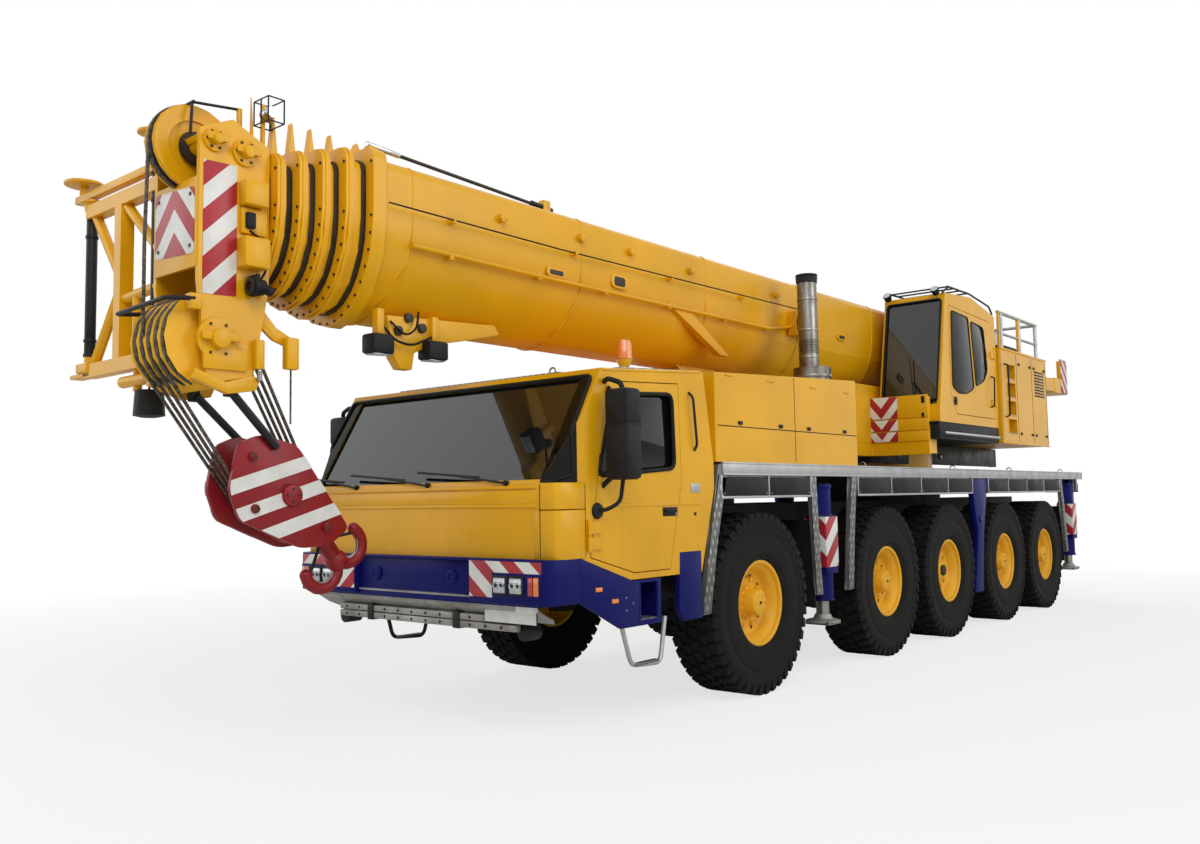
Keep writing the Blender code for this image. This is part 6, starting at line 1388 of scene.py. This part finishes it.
class CRANE_OT_deck(bpy.types.Operator):
    """Skirts, side rail, tread strips, flaps, mats, lashing rings, posts and the rear of the carrier"""

    bl_idname = "crane.deck"
    bl_label = "Deck and chassis"

    def execute(self, context):
        made = Piece("deck_dress", "carrier")
        for _ in made.sides():
            self.skirts(made, HALF_WIDTH)
            self.flaps(made)
        self.top(made)
        self.rear(made)
        made.done()
        return {"FINISHED"}

    def skirts(self, made, out):
        """Charcoal skirts in light frames, the side rail, and tread strips that lean over the wheels."""
        for low, high in ((-0.6, 0.85), (1.8, 4.85), (5.4, 8.36)):
            run = high - low
            panels = max(1, round(run / 0.75))
            for i in range(panels):
                a, b = low + run * i / panels + 0.012, low + run * (i + 1) / panels - 0.012
                made.box("skirt", (out - 0.012, a, 1.632), (out + 0.004, b, 1.782), 0.004)
                for y in (a + 0.03, b - 0.03):
                    made.rod("steel", (out, y, 1.65), (out + 0.007, y, 1.65), 0.008, sides=8)
            made.box("alu", (out - 0.02, low, 1.608), (out + 0.006, high, 1.628), 0.004)
            for i in range(panels + 1):
                y = low + run * i / panels
                made.box("alu", (out - 0.01, y - 0.008, 1.62), (out + 0.006, y + 0.008, 1.8), 0.002)
        made.box("alu", (out - 0.03, -0.57, 1.797), (out + 0.004, 9.565, 1.903), 0.005)
        for z in (1.802, 1.893):
            made.box("alu", (out, -0.57, z - 0.007), (out + 0.009, 9.565, z + 0.007), 0.003)
        for top, low in ((-0.57, -0.84), (0.9, 0.955), (1.72, 1.58), (8.42, 8.6)):
            half, knee = 0.052, top * 0.45 + low * 0.55
            strip = [(top - half, 1.8), (top + half, 1.8), (knee + half, 1.3)]
            strip += [(low + half, 0.735), (low - half, 0.735), (knee - half, 1.3)]
            made.plate("side_plate", strip, "X", out - 0.004, out + 0.004, 0.001)

    def flaps(self, made):
        """Black rubber flaps behind and between the wheels."""
        for y, low in ((0.94, 0.62), (5.05, 0.8), (8.56, 0.6)):
            made.box("rubber", (0.93, y - 0.006, low), (1.34, y + 0.006, 1.4), 0.003)

    def top(self, made):
        """Mats and lashing rings on the deck."""
        for _ in made.sides():
            for low, high in ((1.95, 2.75), (2.85, 3.65)):
                made.box("rubber", (0.62, low, 1.899), (1.28, high, 1.912), 0.004)
            for y in (2.2, 4.6, 6.6, 8.9):
                eye = [(x, y, z) for x, z in ring((1.24, 1.915), 0.03, 14)]
                made.pipe("steel", eye, 0.007, closed=True)

    def rear(self, made):
        """The blue posts, and the rear face with its walls, boards and lamps."""
        y = 9.56
        post = [(4.845, 1.805), (5.405, 1.805), (5.215, 1.14), (5.115, 0.435), (4.845, 0.435), (5.015, 1.14)]
        for _ in made.sides():
            made.plate("blue", post, "X", 1.302, 1.366, 0.006)
            made.rod("blue", (1.366, 5.1, 1.3), (1.378, 5.1, 1.3), 0.045, soft=0.003)
            wall = [(9.29, 1.79), (9.47, 1.79), (9.5, 1.6), (9.5, 0.93), (9.29, 0.93)]
            made.plate("blue", wall, "X", 1.2, 1.26, 0.006)
            made.box("tail_stripes", (0.95, 9.505, 0.98), (1.24, 9.512, 1.26), 0.001)
            made.box("black", (0.36, 9.44, 0.66), (0.44, 9.5, 1.0))
            made.box("plastic", (0.82, y, 1.6), (1.3, y + 0.05, 1.74), 0.01)
            for i, finish in enumerate(("red_lens", "amber", "red_lens", "lamp")):
                x = 0.86 + i * 0.11
                made.box(finish, (x, y + 0.04, 1.62), (x + 0.095, y + 0.062, 1.72), 0.008)


JACK_X = 1.25


class CRANE_OT_outriggers(bpy.types.Operator):
    """Striped jack boxes, tube collars and dished feet of the outriggers"""

    bl_idname = "crane.outriggers"
    bl_label = "Outriggers"

    def execute(self, context):
        for row, y in (("front", 1.24), ("rear", 9.07)):
            for word, side in SIDES:
                made = Piece(f"jack_box_{row}_{word}", f"outrigger_beam_{row}_{word}")
                made.side = side
                inner, outer = 1.15, 1.366
                made.box("blue", (inner, y - 0.112, 0.905), (outer, y + 0.112, 1.43), 0.004)
                made.box("jack_stripes", (inner, y - 0.116, 0.965), (outer + 0.004, y + 0.116, 1.425), 0.002)
                made.rod("blue", (JACK_X, y, 1.43), (JACK_X, y, 1.455), 0.122, 0.11, 32, 0.004)
                made.rod("blue", (JACK_X, y, 1.68), (JACK_X, y, 1.725), 0.112, sides=32, soft=0.01)
                made.bolts("dark_steel", (JACK_X, y, 1.725), (0, 0, 1), 0.08, 6, 0.01, 0.01)
                made.rod("blue", (JACK_X, y, 0.655), (JACK_X, y, 0.675), 0.112, sides=32, soft=0.004)
                made.done()
                foot = Piece(f"jack_foot_{row}_{word}", f"outrigger_jack_{row}_{word}")
                foot.side = side
                dish = [
                    (0, 0.0), (0, 0.1), (0.02, 0.155), (0.035, 0.155), (0.05, 0.09), (0.09, 0.07), (0.09, 0.0)
                ]
                foot.turned("galvanised", dish, (JACK_X, y, 0.442), (0, 0, 1), 32)
                foot.done()
        return {"FINISHED"}


STACK = (0.8, 1.97)
MUFFLER_Y = 2.03


class CRANE_OT_exhaust(bpy.types.Operator):
    """Bands, bellows and rain cap of the upright exhaust, and the muffler's clamps"""

    bl_idname = "crane.exhaust"
    bl_label = "Exhaust"

    def execute(self, context):
        made = Piece("exhaust_dress", "carrier")
        x, y = STACK
        for z in (3.02, 3.3, 3.62):
            made.rod("steel", (x, y, z), (x, y, z + 0.022), 0.104, sides=32, soft=0.003)
        bellows = [(0, 0.09)]
        for i in range(9):
            bellows += [(0.008 + i * 0.016, 0.09), (0.016 + i * 0.016, 0.106)]
        bellows += [(0.152, 0.09), (0.152, 0.06), (0, 0.06)]
        made.turned("steel", bellows, (x, y, 3.06), (0, 0, 1), 36)
        collar = [(0, 0.106), (0.06, 0.112), (0.075, 0.1), (0.075, 0.085), (0, 0.085)]
        made.turned("black", collar, (x, y, 3.8), (0, 0, 1), 36)
        made.rod("black", (x, y, 3.872), (x, y, 3.89), 0.112, sides=32, soft=0.004)
        y = MUFFLER_Y
        for z in (2.02, 2.42, 2.82):
            made.rod("steel", (x, y, z), (x, y, z + 0.03), 0.194, sides=40, soft=0.004)
            made.box("steel", (x + 0.17, y - 0.02, z), (x + 0.215, y + 0.02, z + 0.03), 0.004)
        made.done()
        return {"FINISHED"}


class CRANE_OT_housing(bpy.types.Operator):
    """Seams, latches and hinges of the engine housing"""

    bl_idname = "crane.housing"
    bl_label = "Engine housing"

    def execute(self, context):
        made = Piece("housing_dress", "carrier")
        for side in (-1, 1):
            x = side * HALF_WIDTH
            made.box("seal", (x - 0.002, -0.63, 2.185), (x + 0.002, 1.8, 2.193), 0.001)
            made.box("seal", (x - 0.002, 0.6, 1.92), (x + 0.002, 0.607, 2.66), 0.001)
            for y in (-0.3, 0.35, 0.85, 1.55):
                made.box("plastic", (x - 0.004, y - 0.03, 2.205), (x + side * 0.012, y + 0.03, 2.235), 0.005)
            for y in (-0.45, 0.2, 0.95, 1.62):
                made.rod("yellow", (x, y - 0.05, 2.6), (x, y + 0.05, 2.6), 0.012, sides=12, soft=0.002)
        made.done()
        return {"FINISHED"}


class CRANE_OT_cad_finishes(bpy.types.Operator):
    """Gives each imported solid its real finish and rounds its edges"""

    bl_idname = "crane.cad_finishes"
    bl_label = "Finish the solids"

    def execute(self, context):
        slots = {entry["node"]: entry["material_slot"] for entry in frame["record"]["subparts"]}
        for name, thing in frame["nodes"].items():
            finish = CAD_FINISHES.get(name) or SLOT_FINISHES[slots[name]]
            thing.data.materials.clear()
            thing.data.materials.append(finish_of(finish))
            if "windscreen" in name:
                continue
            weld = thing.modifiers.new("Weld", "WELD")
            weld.merge_threshold = 0.0001
            rounding = thing.modifiers.new("Edges", "BEVEL")
            rounding.width = 0.008
            rounding.segments = 2
            rounding.limit_method = "ANGLE"
            rounding.angle_limit = math.radians(40)
            rounding.harden_normals = False
            thing.data.shade_smooth()
            shade = thing.modifiers.new("Shading", "WEIGHTED_NORMAL")
            shade.keep_sharp = True
        return {"FINISHED"}


class CRANE_OT_stage(bpy.types.Operator):
    """Pale floor, soft lamps and the camera at the photograph's place"""

    bl_idname = "crane.stage"
    bl_label = "Stage, lamps and camera"

    def execute(self, context):
        sizes = context.scene.crane_sizes
        shape = bmesh.new()
        bmesh.ops.create_grid(shape, x_segments=1, y_segments=1, size=60.0)
        mesh = bpy.data.meshes.new("floor")
        shape.to_mesh(mesh)
        shape.free()
        # Seamless paper: lit near the machine, fading to the backdrop's white further out
        made, tree, shader = blank("paper_backdrop", {"Base Color": colour("#F4F4F2"), "Roughness": 0.9})
        away = add(tree, "VectorMath", {"operation": "LENGTH"}, {0: coordinates(tree)}).outputs["Value"]
        fade = spread(tree, away, 6.0, 14.0, 0.72, 1.0)
        glow = add(tree, "Emission", {"Color": (1, 1, 1, 1), "Strength": 1.0})
        rays = add(tree, "LightPath")
        seen = calculate(tree, "MULTIPLY", {0: fade, 1: rays.outputs["Is Camera Ray"]})
        mix = add(tree, "MixShader", {}, {0: seen, 1: shader.outputs["BSDF"], 2: glow.outputs["Emission"]})
        tree.links.new(mix.outputs["Shader"], tree.nodes["Material Output"].inputs["Surface"])
        mesh.materials.append(made)
        floor = bpy.data.objects.new("floor", mesh)
        floor.location = (0, 0, -0.002)
        COLLECTION.objects.link(floor)
        self.world()
        self.lamps(sizes)
        self.camera()
        return {"FINISHED"}

    def world(self):
        """A dim white sky that looks white to the camera, in glass and in reflections."""
        world = bpy.data.worlds.new("studio")
        bpy.context.scene.world = world
        world.use_nodes = True
        tree = world.node_tree
        back = tree.nodes["Background"]
        back.inputs["Color"].default_value = colour("#FFFFFF")
        back.inputs["Strength"].default_value = 0.3
        white = add(tree, "Background", {"Color": (1, 1, 1, 1), "Strength": 1.0})
        rays = add(tree, "LightPath")
        seen = rays.outputs["Is Camera Ray"]
        for kind in ("Is Transmission Ray", "Is Glossy Ray"):
            seen = calculate(tree, "MAXIMUM", {0: seen, 1: rays.outputs[kind]})
        shades = {0: seen, 1: back.outputs["Background"], 2: white.outputs["Background"]}
        mix = add(tree, "MixShader", {}, shades)
        tree.links.new(mix.outputs["Shader"], tree.nodes["World Output"].inputs["Surface"])

    def lamps(self, sizes):
        """Four soft lamps round the machine."""
        lamps = (
            # name, place, size, share of the power, aims at
            ("key", (9.0, -12.0, 11.0), 7.0, 1.0, (0.0, -2.0, 1.8)),
            ("fill", (-9.0, -14.0, 6.0), 8.0, 0.35, (0.0, -3.0, 1.5)),
            ("side", (14.0, 3.0, 8.0), 9.0, 0.75, (0.0, 2.0, 1.5)),
            ("back", (-8.0, 12.0, 10.0), 9.0, 0.5, (0.0, 2.0, 2.0)),
        )
        for name, place, width, share, target in lamps:
            light = bpy.data.lights.new(name, "AREA")
            light.energy = sizes.lamp_power * share
            light.size = width
            lamp = bpy.data.objects.new(name, light)
            COLLECTION.objects.link(lamp)
            lamp.location = place
            lamp.rotation_euler = (Vector(target) - Vector(place)).to_track_quat("-Z", "Y").to_euler()

    def camera(self):
        """The photograph's own viewing place, found from the wheels' and the boom's outline."""
        camera = bpy.data.cameras.new("photo_camera")
        camera.sensor_width = 36.0
        camera.lens = 30.43
        camera.clip_end = 300.0
        eye = bpy.data.objects.new("photo_camera", camera)
        COLLECTION.objects.link(eye)
        yaw, pitch, roll = math.radians(39.95), math.radians(4.29), math.radians(-0.96)
        ahead = Vector((-math.sin(yaw) * math.cos(pitch), math.cos(yaw) * math.cos(pitch), math.sin(pitch)))
        right = Vector((math.cos(yaw), math.sin(yaw), 0))
        up = right.cross(ahead)
        tilted_right = right * math.cos(roll) + up * math.sin(roll)
        tilted_up = -right * math.sin(roll) + up * math.cos(roll)
        turn = Matrix((tilted_right, tilted_up, -ahead)).transposed().to_4x4()
        eye.matrix_world = Matrix.Translation((5.785, -7.337 + FIRST_AXLE_Y, 1.63)) @ turn
        bpy.context.scene.camera = eye
        bpy.context.scene.view_settings.view_transform = "Standard"


SWATCH = {"size": 4, "subtype": "COLOR", "min": 0.0, "max": 1.0}


class CRANE_PG_sizes(bpy.types.PropertyGroup):
    """Sizes and paints that a user would change"""

    groove: FloatProperty(
        name="Tread groove",
        description="Depth of the tyre's tread grooves",
        default=0.02,
        min=0.005,
        max=0.03,
        unit="LENGTH",
    )
    pitches: IntProperty(
        name="Tread pitches", description="Blocks of tread round each tyre", default=42, min=12, max=80
    )
    lamp_power: FloatProperty(
        name="Lamp power", description="Power of the key lamp", default=860.0, min=0.0, unit="POWER"
    )
    crane_yellow: FloatVectorProperty(
        name="Crane yellow",
        description="Enamel of the cabs, boom and housings",
        default=colour("#EAAD08"),
        **SWATCH,
    )
    chassis_navy: FloatVectorProperty(
        name="Chassis navy",
        description="Enamel of the bumper, the frame and the outriggers",
        default=colour("#0E1464"),
        **SWATCH,
    )
    block_red: FloatVectorProperty(
        name="Hook block red", description="Enamel of the hook block", default=colour("#8C1019"), **SWATCH
    )


OPERATORS = (
    CRANE_OT_stage,
    CRANE_OT_cad_finishes,
    CRANE_OT_wheels,
    CRANE_OT_hook_block,
    CRANE_OT_bumper,
    CRANE_OT_cab,
    CRANE_OT_boom_head,
    CRANE_OT_boom,
    CRANE_OT_upper,
    CRANE_OT_deck,
    CRANE_OT_housing,
    CRANE_OT_outriggers,
    CRANE_OT_exhaust,
)


class CRANE_PT_panel(bpy.types.Panel):
    """Sizes and the steps that dress the crane"""

    bl_idname = "CRANE_PT_panel"
    bl_label = "Mobile crane"
    bl_space_type = "VIEW_3D"
    bl_region_type = "UI"
    bl_category = "Crane"

    def draw(self, context):
        sizes = context.scene.crane_sizes
        for name in sizes.bl_rna.properties.keys():
            if name not in ("rna_type", "name"):
                self.layout.prop(sizes, name)
        for step in OPERATORS:
            self.layout.operator(step.bl_idname)


CLASSES = (CRANE_PG_sizes, *OPERATORS, CRANE_PT_panel)


def register():
    for made in CLASSES:
        bpy.utils.register_class(made)
    bpy.types.Scene.crane_sizes = PointerProperty(type=CRANE_PG_sizes)


def unregister():
    del bpy.types.Scene.crane_sizes
    for made in reversed(CLASSES):
        bpy.utils.unregister_class(made)


def main():
    register()
    for step in OPERATORS:
        group, name = step.bl_idname.split(".")
        result = getattr(getattr(bpy.ops, group), name)()
        if "FINISHED" not in result:
            raise RuntimeError(f"{step.bl_label} did not finish")


if __name__ == "__main__":
    main()
